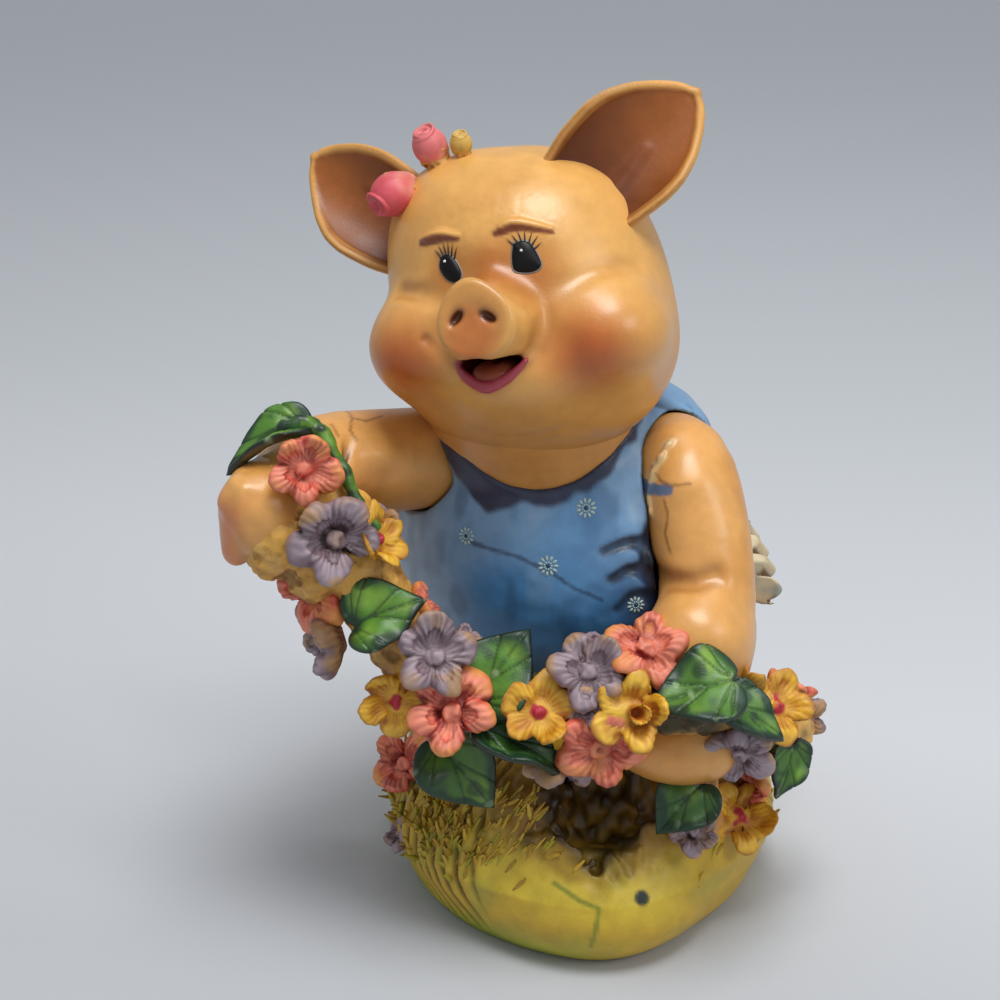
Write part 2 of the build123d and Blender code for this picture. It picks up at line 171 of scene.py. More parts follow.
def lumps(p, size, seed=0):
    """soft random lumps of a size in mm, from -1 to 1"""
    q = p / size
    base = np.floor(q)
    part = (q - base).astype(np.float32)
    part = part * part * (3 - 2 * part)
    base = base.astype(np.int64)
    total = np.zeros(len(p), np.float32)
    for corner in range(8):
        bits = np.array([corner & 1, corner >> 1 & 1, corner >> 2 & 1])
        key = ((base + bits) * np.array([73856093, 19349663, 83492791])).sum(-1) ^ (seed * 2654435 + 97)
        key = (key ^ (key >> 13)) * 1274126177 & 0x7fffffff
        weight = np.where(bits, part, 1 - part).prod(-1)
        total += weight * ((key ^ (key >> 11)) % 20011 / 10005.0 - 1).astype(np.float32)
    return total


def slope(field, p, reach=0.12):
    """the direction in which a field grows fastest, and its rate"""
    grown = np.stack([field(p + reach * axis) - field(p - reach * axis)
                      for axis in np.eye(3, dtype=np.float32)], -1)
    grown = grown / (2 * reach)
    rate = np.sqrt((grown * grown).sum(-1)) + 1e-6
    return grown / rate[:, None], rate


def cast(field, low, high, cell):
    """the surface of a form whose field gives distances in mm: its points, faces and outward directions"""
    low = np.array(low, np.float32)
    block = 8 * cell
    blocks = np.ceil((np.array(high) - low) / block).astype(int)
    middles = np.stack(np.meshgrid(*[np.arange(n) + 0.5 for n in blocks], indexing="ij"), -1) * block + low
    coarse = field(middles.reshape(-1, 3).astype(np.float32)).reshape(blocks)
    values = coarse.repeat(8, 0).repeat(8, 1).repeat(8, 2)
    values = np.pad(values, ((0, 1), (0, 1), (0, 1)), mode="edge")
    near = np.argwhere(np.abs(coarse) < block * 1.15)
    offsets = np.stack(np.meshgrid(*[np.arange(9)] * 3, indexing="ij"), -1).reshape(-1, 3)
    for start in range(0, len(near), 600):
        corners = near[start:start + 600, None] * 8 + offsets
        found = field((low + cell * corners).reshape(-1, 3).astype(np.float32))
        values[tuple(np.moveaxis(corners, -1, 0))] = found.reshape(corners.shape[:2])
    values[np.abs(values) < 1e-5] = 1e-5
    inside = values < 0
    shell = sum(inside[a:inside.shape[0] - 1 + a, b:inside.shape[1] - 1 + b,
                       c:inside.shape[2] - 1 + c].astype(np.int8)
                for a in (0, 1) for b in (0, 1) for c in (0, 1))
    cells = np.argwhere((shell > 0) & (shell < 8))
    ids = np.full(shell.shape, -1, np.int32)
    ids[tuple(cells.T)] = np.arange(len(cells))
    corner = np.array([[a, b, c] for a in (0, 1) for b in (0, 1) for c in (0, 1)])
    at = values[tuple(np.moveaxis(cells[:, None] + corner, -1, 0))]
    total, hits = np.zeros((len(cells), 3)), np.zeros(len(cells))
    for a in range(8):
        for b in range(a + 1, 8):
            if np.abs(corner[a] - corner[b]).sum() == 1:
                crossed = (at[:, a] < 0) != (at[:, b] < 0)
                t = at[:, a] / np.where(crossed, at[:, a] - at[:, b], 1)
                total += np.where(crossed[:, None], corner[a] + t[:, None] * (corner[b] - corner[a]), 0)
                hits += crossed
    points = (low + cell * (cells + total / hits[:, None])).astype(np.float32)
    faces = []
    for axis in range(3):
        first = np.moveaxis(inside, axis, 0)
        edges = np.argwhere(first[:-1] != first[1:])
        others = [other for other in range(3) if other != axis]
        edges = np.insert(edges[:, 1:], axis, edges[:, 0], axis=1)
        keep = np.all((edges[:, others] > 0) & (edges[:, others] < np.array(shell.shape)[others]), axis=1)
        edges = edges[keep]
        along, across = np.eye(3, dtype=int)[[(axis + 1) % 3, (axis + 2) % 3]]
        quad = np.stack([ids[tuple((edges - shift).T)]
                         for shift in (0 * along, along, along + across, across)], -1)
        outer = inside[tuple(edges.T)]
        quad[~outer] = quad[~outer][:, ::-1]
        faces.append(quad)
    faces = np.vstack(faces)
    faces = faces[(faces >= 0).all(1)]
    for _ in range(2):
        way, rate = slope(field, points)
        points -= way * np.clip(field(points) / rate, -cell / 2, cell / 2)[:, None]
    return points, faces, slope(field, points)[0]


def hollows(field, points, way, depth):
    """how far a surface lies in a crease: 0 in the open, 1 in a tight crease of a depth in mm"""
    return np.clip(1 - field(points + depth * way) / depth, 0, 1)


def mix(colour, other, amount):
    """one colour laid over another by an amount at each point, for paint and for painted shade and light"""
    return colour * (1 - amount[:, None]) + paint(other) * amount[:, None]


def base_coat(points, code):
    """one colour laid on at every point"""
    return np.tile(paint(code), (len(points), 1))


def line_on(points, route, width, low, high, wobble=0):
    """how much of a thin line shows at each point: 1 on the line, 0 away from it"""
    return 1 - step(strand(points, route, [width] * len(route)) + wobble, low, high)


def set_piece(name, points, faces, finish, colour=None):
    """a finished mesh from points in mm, with its paint at each point"""
    mesh = bpy.data.meshes.new(name)
    faces = np.asarray(faces)
    mesh.vertices.add(len(points))
    mesh.vertices.foreach_set("co", (np.asarray(points, np.float32) * MM).ravel())
    mesh.loops.add(faces.size)
    mesh.loops.foreach_set("vertex_index", faces.ravel().astype(np.int32))
    mesh.polygons.add(len(faces))
    mesh.polygons.foreach_set("loop_start", np.arange(0, faces.size, faces.shape[1], dtype=np.int32))
    mesh.update(calc_edges=True)
    mesh.validate()
    mesh.polygons.foreach_set("use_smooth", np.ones(len(mesh.polygons), bool))
    if colour is not None:
        layer = mesh.color_attributes.new(name="paint", type="FLOAT_COLOR", domain="POINT")
        opaque = np.hstack([colour, np.ones((len(colour), 1))])
        layer.data.foreach_set("color", opaque.astype(np.float32).ravel())
    mesh.materials.append(finish)
    piece = bpy.data.objects.new(name, mesh)
    bpy.context.scene.collection.objects.link(piece)
    return piece


def painted_casting(name, gloss, grain_mm, grain_depth_mm, mottle=0.12, coat=0.0):
    """brushed paint on cast resin: the colour lies on each point, and brush and casting give it grain"""
    finish = bpy.data.materials.new(name)
    finish.use_nodes = True
    tree = finish.node_tree
    tree.nodes.clear()
    place = add_node(tree, "ShaderNodeTexCoord")
    laid = add_node(tree, "ShaderNodeAttribute", attribute_name="paint")
    # the brush leaves patches of about 4 mm, and the casting's grain is drawn coarse enough to show
    broad = add_node(tree, "ShaderNodeTexNoise",
                     {"Vector": (place, "Object"), "Scale": 260.0, "Detail": 5.0, "Roughness": 0.6})
    tone = add_node(tree, "ShaderNodeMapRange",
                    {"Value": (broad, 0), 1: 0.3, 2: 0.7, 3: 1 - mottle, 4: 1 + mottle})
    shade = add_node(tree, "ShaderNodeVectorMath", {0: (laid, "Color"), "Scale": (tone, 0)},
                     operation="SCALE")
    speck = add_node(tree, "ShaderNodeTexNoise",
                     {"Vector": (place, "Object"), "Scale": 1000 / grain_mm, "Detail": 3.0,
                      "Roughness": 0.65})
    relief = add_node(tree, "ShaderNodeBump",
                      {"Height": (speck, 0), "Distance": grain_depth_mm * MM, "Strength": 1.0})
    dull = add_node(tree, "ShaderNodeMapRange",
                    {"Value": (broad, 0), 1: 0.3, 2: 0.7, 3: gloss - 0.06, 4: gloss + 0.08})
    skin = add_node(tree, "ShaderNodeBsdfPrincipled",
                    {"Base Color": (shade, 0), "Roughness": (dull, 0), "Normal": (relief, 0),
                     "IOR": 1.5, "Coat Weight": coat, "Coat Roughness": 0.22})
    add_node(tree, "ShaderNodeOutputMaterial", {"Surface": (skin, 0)})
    return finish


def carried(piece, slot, *nodes):
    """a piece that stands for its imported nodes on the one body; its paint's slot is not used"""
    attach(piece, "root")
    if nodes:
        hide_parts(*nodes)
    return piece


def mound_body(p):
    """the mound before it is combed: a rounded heap with a swelling in front"""
    rise = p[:, 2] / mound_height
    wide = mound_half_width * np.interp(rise, mound_rows[:, 0], mound_rows[:, 1])
    deep = mound_half_depth * np.interp(rise, mound_rows[:, 0], mound_rows[:, 2])
    ring = np.hypot(p[:, 0] / wide, p[:, 1] / deep)
    side = (ring - 1) * 0.93 * np.minimum(wide, deep)
    side = -melt(-side, mound_height - p[:, 2], 5.0)
    return melt(side, egg(p, (6, -25, 9), (20, 16.5, 11)), 4.0)


def combing(p):
    """how deep the combed blades lie, from 0 to 1, and where they are"""
    bearing = np.degrees(np.arctan2(p[:, 1], p[:, 0])) % 360
    front = step(bearing, 244, 258) * (1 - step(bearing, 345, 358))
    lean = bearing + 0.9 * (p[:, 2] - 8) - 0.03 * (p[:, 2] - 8) ** 2 + 2.2 * lumps(p, 9.0, 3)
    blade = np.abs(np.sin(np.radians(lean * 180 / 5.0)))
    return (1 - blade) ** 1.4, (1 - front) * step(p[:, 2], 1.0, 4.0)


def torn(p):
    """how torn the clay under the garland is, from 0 to 1"""
    return step(-egg(p, hollow_middle, (19, 16, 13)) + 2.0 * lumps(p, 5.0, 8), -1.5, 4.0)


def mound_form(p):
    """the whole mound, with its combed ribs, its torn hollow and its flat underside"""
    groove, where = combing(p)
    body = mound_body(p) + 1.5 * groove * where
    rough = 0.6 * lumps(p * (1, 1, 0.5), 2.6, 6) + 0.5 * lumps(p * (1, 1, 0.5), 1.3, 16)
    bite = egg(p, hollow_middle, hollow_radii) + 3.0 * lumps(p, 4.5, 4) + 1.2 * lumps(p, 2.0, 5)
    body = scoop(body, bite, 1.0)
    body += 1.0 * rough * np.maximum(torn(p), step(p[:, 2], 17, 24)) + 0.25 * lumps(p, 11.0, 7)
    return np.maximum(body, -p[:, 2])


points, faces, way = cast(mound_form, (-41, -47, -1), (41, 45, 38), 0.5 * fine)
groove, where = combing(points)
crease = hollows(mound_form, points, way, 1.6)
deep = step(-egg(points, hollow_middle, hollow_radii) - 3.0 * lumps(points, 4.5, 4), -2.2, 1.0)
low = 1 - step(points[:, 2] + 2.5 * lumps(points, 7.0, 2), 1, 9)
colour = base_coat(points, "#C6A22C")
# painted light: lighter yellow on the front where it faces up
colour = mix(colour, "#CDB93C",
             0.7 * step(-points[:, 1] + 3 * lumps(points, 6.0, 9), 24, 36) * step(way[:, 2], -0.1, 0.7))
colour = mix(colour, "#8CA028", 0.85 * low * step(-points[:, 0] + 0.4 * points[:, 2], -18, 6))
colour = mix(colour, "#9AA03A", 0.45 * step(lumps(points, 6.0, 19), 0.2, 0.8))
# painted shade: browner in the combed grooves
colour = mix(colour, "#94731E", 0.5 * step(groove * where, 0.35, 0.95))
colour = mix(colour, "#8A5E1E", 0.5 * torn(points) + 0.35 * step(points[:, 2], 18, 26))
# painted shade: brown in the creases, and near-black deep in the hollow under the garland
colour = mix(colour, "#5A3C14", np.clip(0.8 * crease - 0.05, 0, 1) * (1 - 0.5 * low))
colour = mix(colour, "#1E1208", 0.96 * deep)
crack_pixels = ((554, 883), (580, 901), (599, 909), (596, 928), (591, 946))
crack = [seen_on(mound_form, pixel) for pixel in crack_pixels]
colour = mix(colour, "#6E7A1C", 0.8 * line_on(points, crack, 0.05, 0.15, 0.6))
speck = seen_on(mound_form, (642, 898))
colour = mix(colour, "#12241A", 1 - step(np.linalg.norm(points - speck, axis=1), 1.0, 1.7))
# satin brushed acrylic: broad soft lights on the ribs, and a fine grain from the casting
grass_paint = painted_casting("brushed ochre and lime paint on cast resin", 0.42, 0.5, 0.06, 0.14)
mound = set_piece("mound", points, faces, grass_paint, colour)
carried(mound, "grass_paint", "grass_base")

# Tufts: short blades of the same resin, raised with a tool round the torn hollow and over the combed side.
# They take the mound's own paint, each blade a little lighter or darker than the next.
def planting_tree(finish):
    """a node tree that sets one shape on each point, aimed by the points' own directions"""
    tree = bpy.data.node_groups.new("planting", "GeometryNodeTree")
    for name, kind in (("Geometry", "NodeSocketGeometry"), ("Shape", "NodeSocketObject")):
        tree.interface.new_socket(name, in_out="INPUT", socket_type=kind)
    tree.interface.new_socket("Geometry", in_out="OUTPUT", socket_type="NodeSocketGeometry")
    given = add_node(tree, "NodeGroupInput")
    shape = add_node(tree, "GeometryNodeObjectInfo", {"Object": (given, "Shape")})
    aim = add_node(tree, "GeometryNodeInputNamedAttribute", {"Name": "aim"}, data_type="FLOAT_VECTOR")
    side = add_node(tree, "GeometryNodeInputNamedAttribute", {"Name": "side"}, data_type="FLOAT_VECTOR")
    size = add_node(tree, "GeometryNodeInputNamedAttribute", {"Name": "size"}, data_type="FLOAT_VECTOR")
    upright = add_node(tree, "FunctionNodeAlignRotationToVector", {"Vector": (aim, 0)}, axis="Z")
    turned_to = add_node(tree, "FunctionNodeAlignRotationToVector",
                         {"Rotation": (upright, 0), "Vector": (side, 0)}, axis="X", pivot_axis="Z")
    each = add_node(tree, "GeometryNodeInstanceOnPoints",
                    {"Points": (given, "Geometry"), "Instance": (shape, "Geometry"),
                     "Rotation": (turned_to, 0), "Scale": (size, 0)})
    real = add_node(tree, "GeometryNodeRealizeInstances", {"Geometry": (each, 0)})
    done = add_node(tree, "GeometryNodeSetMaterial", {"Geometry": (real, 0), "Material": finish})
    add_node(tree, "NodeGroupOutput", {"Geometry": (done, 0)})
    return tree


def planted(name, shape, spots, aims, sides, sizes, colours, finish):
    """one shape set many times, as a plain mesh"""
    seeds = set_piece(name + "_seeds", spots, np.zeros((0, 4), int), finish, colours)
    for attribute, values in (("aim", aims), ("side", sides), ("size", sizes)):
        layer = seeds.data.attributes.new(name=attribute, type="FLOAT_VECTOR", domain="POINT")
        layer.data.foreach_set("vector", np.asarray(values, np.float32).ravel())
    setting = seeds.modifiers.new("planting", "NODES")
    setting.node_group = planting_tree(finish)
    sockets = setting.node_group.interface.items_tree
    wanted = {socket.name: socket.identifier for socket in sockets if socket.in_out == "INPUT"}
    setting[wanted["Shape"]] = shape
    mesh = bpy.data.meshes.new_from_object(seeds.evaluated_get(bpy.context.evaluated_depsgraph_get()))
    bpy.data.objects.remove(seeds)
    bpy.data.objects.remove(shape)
    mesh.name = name
    mesh.polygons.foreach_set("use_smooth", np.ones(len(mesh.polygons), bool))
    piece = bpy.data.objects.new(name, mesh)
    bpy.context.scene.collection.objects.link(piece)
    return piece


# one blade, a unit high: five rings of six corners that narrow and bend over to a tip
round_six = np.radians(np.arange(0, 360, 60))
blade_rings = []
for t in np.linspace(0, 1, 6)[:-1]:
    narrow = 1 - t ** 1.5
    blade_rings.append(np.stack([0.5 * np.cos(round_six) * narrow + 0.5 * t * t,
                                 0.32 * np.sin(round_six) * narrow, np.full(6, t)], -1))
blade_points = np.vstack(blade_rings + [[(0.5, 0, 1.0)]])
blade_faces = [(6 * r + k, 6 * r + (k + 1) % 6, 6 * r + 6 + (k + 1) % 6, 6 * r + 6 + k)
               for r in range(4) for k in range(6)]
blade_faces += [(24 + k, 24 + (k + 1) % 6, 30, 30) for k in range(6)]
blade_faces += [(0, 5, 4, 3), (0, 3, 2, 1)]
blade = set_piece("blade_shape", blade_points / MM, blade_faces, grass_paint)
sow = np.random.default_rng(11)
# groups of tufts: bearing in degrees, height in mm, spread in degrees and count
sown = [(236, 20, 13, 200), (262, 25, 9, 80), (325, 24, 10, 45), (200, 15, 22, 110), (110, 17, 34, 120),
        (20, 17, 26, 80)]
turn = np.radians(np.concatenate([sow.normal(bearing, wide, count) for bearing, _, wide, count in sown]))
level = np.concatenate([np.clip(sow.normal(height, 3.4, count), 8, 28) for _, height, _, count in sown])
out = np.stack([np.cos(turn), np.sin(turn), np.zeros(len(turn))], -1)
outside = 46  # mm from the middle, where each spot starts on its way in to the mound
spots = (out * outside + level[:, None] * (0, 0, 1)).astype(np.float32)
for _ in range(40):
    spots -= (0.7 * mound_form(spots)[:, None] * out).astype(np.float32)
kept = (np.abs(mound_form(spots)) < 0.3) & (egg(spots, hollow_middle, hollow_radii) > 0.5)
spots, out = spots[kept], out[kept]
face = slope(mound_form, spots, 0.8)[0]
comb = np.cross((0, 0, 1), out) * 0.5 + (0, 0, 0.9) + sow.normal(0, 0.22, out.shape)
comb = comb - face * (comb * face).sum(1)[:, None]
comb = comb / np.linalg.norm(comb, axis=1)[:, None] + 0.2 * face
blade_ranges = ((1.0, 1.7), (1.1, 2.0), (2.6, 5.0))  # least and most thickness, width and length in mm
sizes = np.stack([sow.uniform(least, most, len(spots)) for least, most in blade_ranges], -1)
blade_tones = ("#BD982E", "#AC8626", "#C8A83A", "#ACA02E")
tones = np.array([paint(blade_tones[k]) for k in sow.integers(4, size=len(spots))])
tufts = planted("tufts", blade, spots - 0.6 * face, comb, face, sizes * MM, tones, grass_paint)
carried(tufts, "grass_paint")

# Rump: the bare back of the legs, cast with the body and half sunk in the grass, with its curled tail behind.
# The skin is airbrushed peach over an ochre wash, under a satin varnish; painted shade darkens its crease and
# low part.
# airbrushed acrylic under varnish: the smoothest finish here, with a clear soft light on every swelling
skin_paint = painted_casting("airbrushed peach paint under satin varnish", 0.36, 0.4, 0.035, 0.08, 0.25)


def rump_form(p):
    """the two cheeks of the rump, parted by a crease"""
    body = egg(p, (0.5, 10, 43), (30.5, 27, 25))
    crease = strand(p, curve([(0, 38, 64), (0.5, 38.5, 52), (0, 37, 38)], 10), [1.2] * 10)
    return scoop(body, crease, 2.5)


points, faces, way = cast(rump_form, (-31, -19, 16), (31, 40, 70), 0.8 * fine)
colour = base_coat(points, "#D6A05C")
# painted shade: darker ochre in the crease and low down, where the rump sinks into the grass
grass_shade = 1 - step(points[:, 2], 30, 40)
colour = mix(colour, "#B0692A", np.clip(hollows(rump_form, points, way, 3.0) + grass_shade, 0, 1) * 0.7)
rump = set_piece("rump", points, faces, skin_paint, colour)
carried(rump, "skin_paint", "hips")

tail_curl, tail_height = 3.6, 43  # mm
turns = np.radians(np.linspace(90, 390, 26))
tail_route = np.stack([tail_curl * np.cos(turns), 37.6 + 2.2 * (turns - turns[0]) / 5,
                       tail_height + tail_curl * np.sin(turns)], -1)


def tail_form(p):
    """the curl, thinner to its tip"""
    return strand(p, tail_route, np.linspace(1.7, 0.8, 26))


points, faces, way = cast(tail_form, (-7, 34, 37), (7, 43, 50), 0.3 * fine)
tail = set_piece("tail_curl", points, faces, skin_paint, base_coat(points, "#CF9A58"))
carried(tail, "skin_paint", "tail")

# Arms: two plump limbs of bare resin, cast with the body and ending in closed hands that hold the garland.
# They carry the same airbrushed skin, with painted shade at the elbow, the armpits and between the fingers.
def turned(x=0.0, y=0.0, z=0.0):
    """axes turned about x, then y, then z, in degrees"""
    x, y, z = np.radians([x, y, z])
    about_x = np.array([[1, 0, 0], [0, np.cos(x), -np.sin(x)], [0, np.sin(x), np.cos(x)]])
    about_y = np.array([[np.cos(y), 0, np.sin(y)], [0, 1, 0], [-np.sin(y), 0, np.cos(y)]])
    about_z = np.array([[np.cos(z), -np.sin(z), 0], [np.sin(z), np.cos(z), 0], [0, 0, 1]])
    return (about_z @ about_y @ about_x).astype(np.float32)


left_arm_route = curve([(12, 7, 79), (16.7, -1.3, 81.3), (20.6, -7.5, 74), (23.6, -13.3, 62.4),
                        (23.9, -18.3, 52.4), (22.6, -23.8, 40.4)], 16)
left_arm_radii = np.interp(np.linspace(0, 1, 16), [0, 0.3, 0.5, 0.62, 0.8, 1], [8.4, 9.0, 8.6, 8.2, 8.0, 6.4])
right_arm_route = curve([(-18, 7, 79), (-27, -2.7, 80.3), (-36.6, -11.9, 82.0), (-42.6, -18.4, 83.4),
                         (-46.0, -27.0, 82.4), (-48.4, -33.5, 80.5)], 16)
right_arm_radii = np.interp(np.linspace(0, 1, 16), [0, 0.4, 0.7, 1], [9.0, 9.2, 8.6, 7.2])


def left_limb(p):
    """the lowered arm and its hand, before the elbow is creased"""
    form = strand(p, left_arm_route, left_arm_radii)
    form = melt(form, egg(p, (22.6, -21.5, 57.5), (9.0, 8.2, 8.6)), 4.0)
    form = melt(form, egg(p, (19.5, -25.6, 39.6), (11.6, 8.4, 6.6), turned(y=6)), 4.0)
    return melt(form, egg(p, (18.6, -9.0, 80.5), (4.0, 3.5, 3.4)), 3.5)


elbow_pixels = ((648, 570), (668, 580), (692, 582), (716, 574))
elbow_route = curve([seen_on(left_limb, pixel) for pixel in elbow_pixels], 9)
ridge_pixels = ((672, 440), (660, 458), (652, 478), (649, 498), (652, 516))
ridge_route = curve([seen_on(left_limb, pixel) for pixel in ridge_pixels], 12)
ridge_widths = [0.1, 0.3, 0.45, 0.5, 0.5, 0.5, 0.5, 0.5, 0.45, 0.4, 0.3, 0.1]


def left_arm(p):
    """the lowered arm, with the crease of its elbow and the worn ridge of its sleeve"""
    form = scoop(left_limb(p), strand(p, elbow_route, np.linspace(0.3, 0.0, 9)), 3.4)
    ridge = strand(p, ridge_route, ridge_widths) + 0.5 * lumps(p, 1.6, 22)
    return melt(form, ridge, 0.5) + 0.06 * lumps(p, 2.4, 26)


def right_arm(p):
    """the raised arm, with its wrist and its closed hand"""
    form = strand(p, right_arm_route, right_arm_radii)
    form = melt(form, egg(p, (-49.0, -35.0, 80.6), (7.2, 7.2, 8.2), turned(y=-12)), 3.5)
    form = melt(form, egg(p, (-53.0, -36.4, 76.4), (3.0, 3.4, 5.4), turned(y=14)), 1.8)
    form = melt(form, egg(p, (-50.6, -38.8, 83.6), (4.2, 3.6, 4.6)), 2.0)
    form = melt(form, egg(p, (-35.0, -17.4, 86.0), (3.4, 3.4, 2.2)), 3.0)
    wrist = strand(p, curve([(-37.5, -22.5, 90), (-38.5, -26, 84), (-38.5, -25, 77)], 7), [0.2] * 7)
    return scoop(form, wrist, 2.0) + 0.25 * lumps(p, 2.2, 23) * step(-p[:, 0], 44, 50)


def skin_colour(form, points, way):
    """the airbrushed skin of the body: peach, with painted shade in ochre where it faces down and brown in
    the creases
    """
    colour = base_coat(points, "#E0A45A")
    # painted shade: ochre where the skin faces down, and brown in the creases, darkest in the tightest
    colour = mix(colour, "#C07E34", 0.6 * step(-way[:, 2], -0.2, 0.8))
    colour = mix(colour, "#CE8A38", 0.45 * step(lumps(points * (1, 1, 0.6), 7.0, 21), -0.1, 0.8))
    colour = mix(colour, "#9A5C22", 0.8 * np.clip(hollows(form, points, way, 3.0) * 1.2 - 0.1, 0, 1))
    return mix(colour, "#6A3C18", 0.9 * np.clip(hollows(form, points, way, 0.8) * 1.4 - 0.3, 0, 1))


for name, form, low, high in (("arm_left", left_arm, (2, -37, 30), (36, 18, 93)),
                              ("arm_right", right_arm, (-59, -45, 65), (-8, 18, 95))):
    points, faces, way = cast(form, low, high, 0.45 * fine)
    colour = skin_colour(form, points, way)
    if name == "arm_left":
        ridge = 1 - step(strand(points, ridge_route, ridge_widths) + 0.6 * lumps(points, 1.4, 24), 0.1, 0.9)
        colour = mix(colour, "#E4C890", 0.75 * ridge)
        smear = [seen_on(left_arm, pixel) for pixel in ((641, 481), (649, 490), (668, 489))]
        blue = line_on(points, smear, 0.6, 0.2, 0.7, 0.3 * lumps(points, 1.2, 25))
        colour = mix(colour, "#3E6C94", 0.9 * blue)
        cracks = (((652, 466), (660, 480), (670, 486), (690, 484)),
                  ((664, 500), (668, 516), (665, 534), (670, 552)))
    else:
        cracks = (((345, 408), (352, 418), (366, 421), (382, 416)), ((352, 418), (350, 430), (356, 440)),
                  ((331, 424), (338, 436)))
    for crack in cracks:
        line = [seen_on(form, pixel) for pixel in crack]
        colour = mix(colour, "#8A5A2A", 0.7 * line_on(points, line, 0.03, 0.1, 0.42))
    if name == "arm_right":
        rosy = 1 - step(points[:, 0] - 0.25 * (points[:, 2] - 76), -54.5, -49.0)
        colour = mix(colour, "#D4704A", 0.6 * rosy * (1 - step(points[:, 2], 82, 88)))
    arm = set_piece(name + "_casting", points, faces, skin_paint, colour)
    carried(arm, "skin_paint", name)

# Neck and dress: a sleeveless shift modelled over the torso, which stands a little proud of the skin.
# It is brushed blue over navy that is left at the neckline, with painted shade in its folds and beside the
# arm.
def neck_form(p):
    """the neck, and the swelling under the chin"""
    chin = egg(p, (-10.2, -8.8, 97.5), (17.5, 13.5, 12.0), turned(x=-16))
    return melt(egg(p, (-9.6, -0.5, 89), (18.8, 16.3, 19.8)), chin, 7.0)


points, faces, way = cast(neck_form, (-31, -26, 68), (12, 18, 112), 0.6 * fine)
neck = set_piece("neck_casting", points, faces, skin_paint, skin_colour(neck_form, points, way))
carried(neck, "skin_paint", "neck")

dress_foot, dress_height, dress_lean = 30, 64, 5  # mm
# shares of the height, width, depth and lean, and of how far back the middle lies
dress_rows = curve([(0.00, 0.88, 0.90, 0.00, 1.0), (0.22, 0.97, 0.99, 0.30, 0.9),
                    (0.45, 1.00, 1.00, 0.60, 0.6), (0.63, 0.94, 0.92, 0.80, 0.5),
                    (0.78, 0.84, 0.80, 0.90, 0.6), (0.90, 0.74, 0.68, 1.00, 0.8),
                    (0.97, 0.56, 0.50, 1.00, 0.9), (1.00, 0.30, 0.28, 1.00, 0.9)], 70)


def neckline(p):
    """how high the dress reaches at a spot: a deep scoop in front, high behind"""
    scoop_front = 80.4 + 11.0 * (np.abs(p[:, 0] + 7.0) / 16.5) ** 2.2 + 12 * step(p[:, 1], -4, 6)
    return np.minimum(scoop_front, 93.6)


def dress_body(p):
    """the dress without its folds: a bell that leans to the right, cut off at the neckline and the hem"""
    rise = (p[:, 2] - dress_foot) / dress_height
    wide, deep, lean, back = [np.interp(rise, dress_rows[:, 0], dress_rows[:, i]) for i in (1, 2, 3, 4)]
    half = np.where(p[:, 0] < -dress_lean * lean, 35.2, 32.5)
    ring = np.hypot((p[:, 0] + dress_lean * lean) / (half * wide), (p[:, 1] - 10 * back) / (26 * deep))
    form = (ring - 1) * 24 * np.minimum(wide, deep)
    form = melt(form, egg(p, (-9.6, -0.5, 89), (19.6, 17.1, 20.6)), 2.0)
    form = -melt(-form, neckline(p) - p[:, 2], 0.8)
    hem = 0.616 * (p[:, 1] - 10) - 0.788 * (p[:, 2] - 50)
    return -melt(-form, -hem, 1.0)


# the folds run out from under the left arm
fold_pixels = (((668, 500), (653, 528), (645, 560), (654, 590), (662, 612)),
               ((654, 545), (628, 543), (604, 552)),
               ((658, 578), (632, 570), (612, 580)), ((660, 600), (636, 596), (618, 610)))
folds = [curve([seen_on(dress_body, pixel) for pixel in pixels], 8) for pixels in fold_pixels]
fold_widths = np.linspace(0.9, 0.2, 8)
# a worn lump of the sleeve edge at the right armpit
sleeve_edge = seen_on(dress_body, (396, 498)) + (-2.5, 0, 0)


def dress_form(p):
    """the dress with its folds, its worn sleeve edge and the hollows that the arms lie in"""
    form = melt(dress_body(p), egg(p, sleeve_edge, (3.4, 3.0, 2.2)) + 0.8 * lumps(p, 1.8, 38), 1.6)
    form += 0.3 * lumps(p, 10.0, 31) + 0.12 * lumps(p, 2.2, 37)
    for fold in folds:
        form = scoop(form, strand(p, fold, fold_widths), 1.6)
    form = scoop(form, left_limb(p) - 0.4, 0.7)
    return scoop(form, right_arm(p) - 0.4, 0.7)


points, faces, way = cast(dress_form, (-39, -24, 26), (33, 38, 95), 0.5 * fine)
crease = hollows(dress_form, points, way, 1.2)
broad_crease = hollows(dress_form, points, way, 4.0)
collar = 0.75 * (neckline(points) - points[:, 2])
by_arm = left_limb(points)
stroke = lumps(points * (1.0, 1.0, 0.35), 3.4, 39)
colour = base_coat(points, "#4A89BE")
# painted light: lighter blue streaks, more of them towards the top
colour = mix(colour, "#92B4D2",
             0.6 * step(0.5 * lumps(points, 10.0, 33) + 0.05 * (points[:, 2] - 66), -0.2, 0.8))
# painted light: a pale sheen down the left side
colour = mix(colour, "#B0BFCE",
             0.75 * (1 - step(points[:, 0] + 0.25 * (points[:, 2] - 60) + 2 * stroke, -30, -15)))
colour = mix(colour, "#98B4CC", 0.45 * step(stroke, 0.25, 0.75))
colour = mix(colour, "#2C557F", 0.45 * step(-stroke, 0.25, 0.75))
# painted shade: darker beside the left arm, and near-black in the armpit
colour = mix(colour, "#33507A", 0.6 * (1 - step(by_arm, 1.5, 11)) * (1 - step(points[:, 2], 62, 76)))
armpit_shade = 1 - step(by_arm + 1.6 * lumps(points, 3.0, 35), 0.8, 3.2)
colour = mix(colour, "#141828", 0.95 * armpit_shade * (1 - step(points[:, 2], 70, 84)))
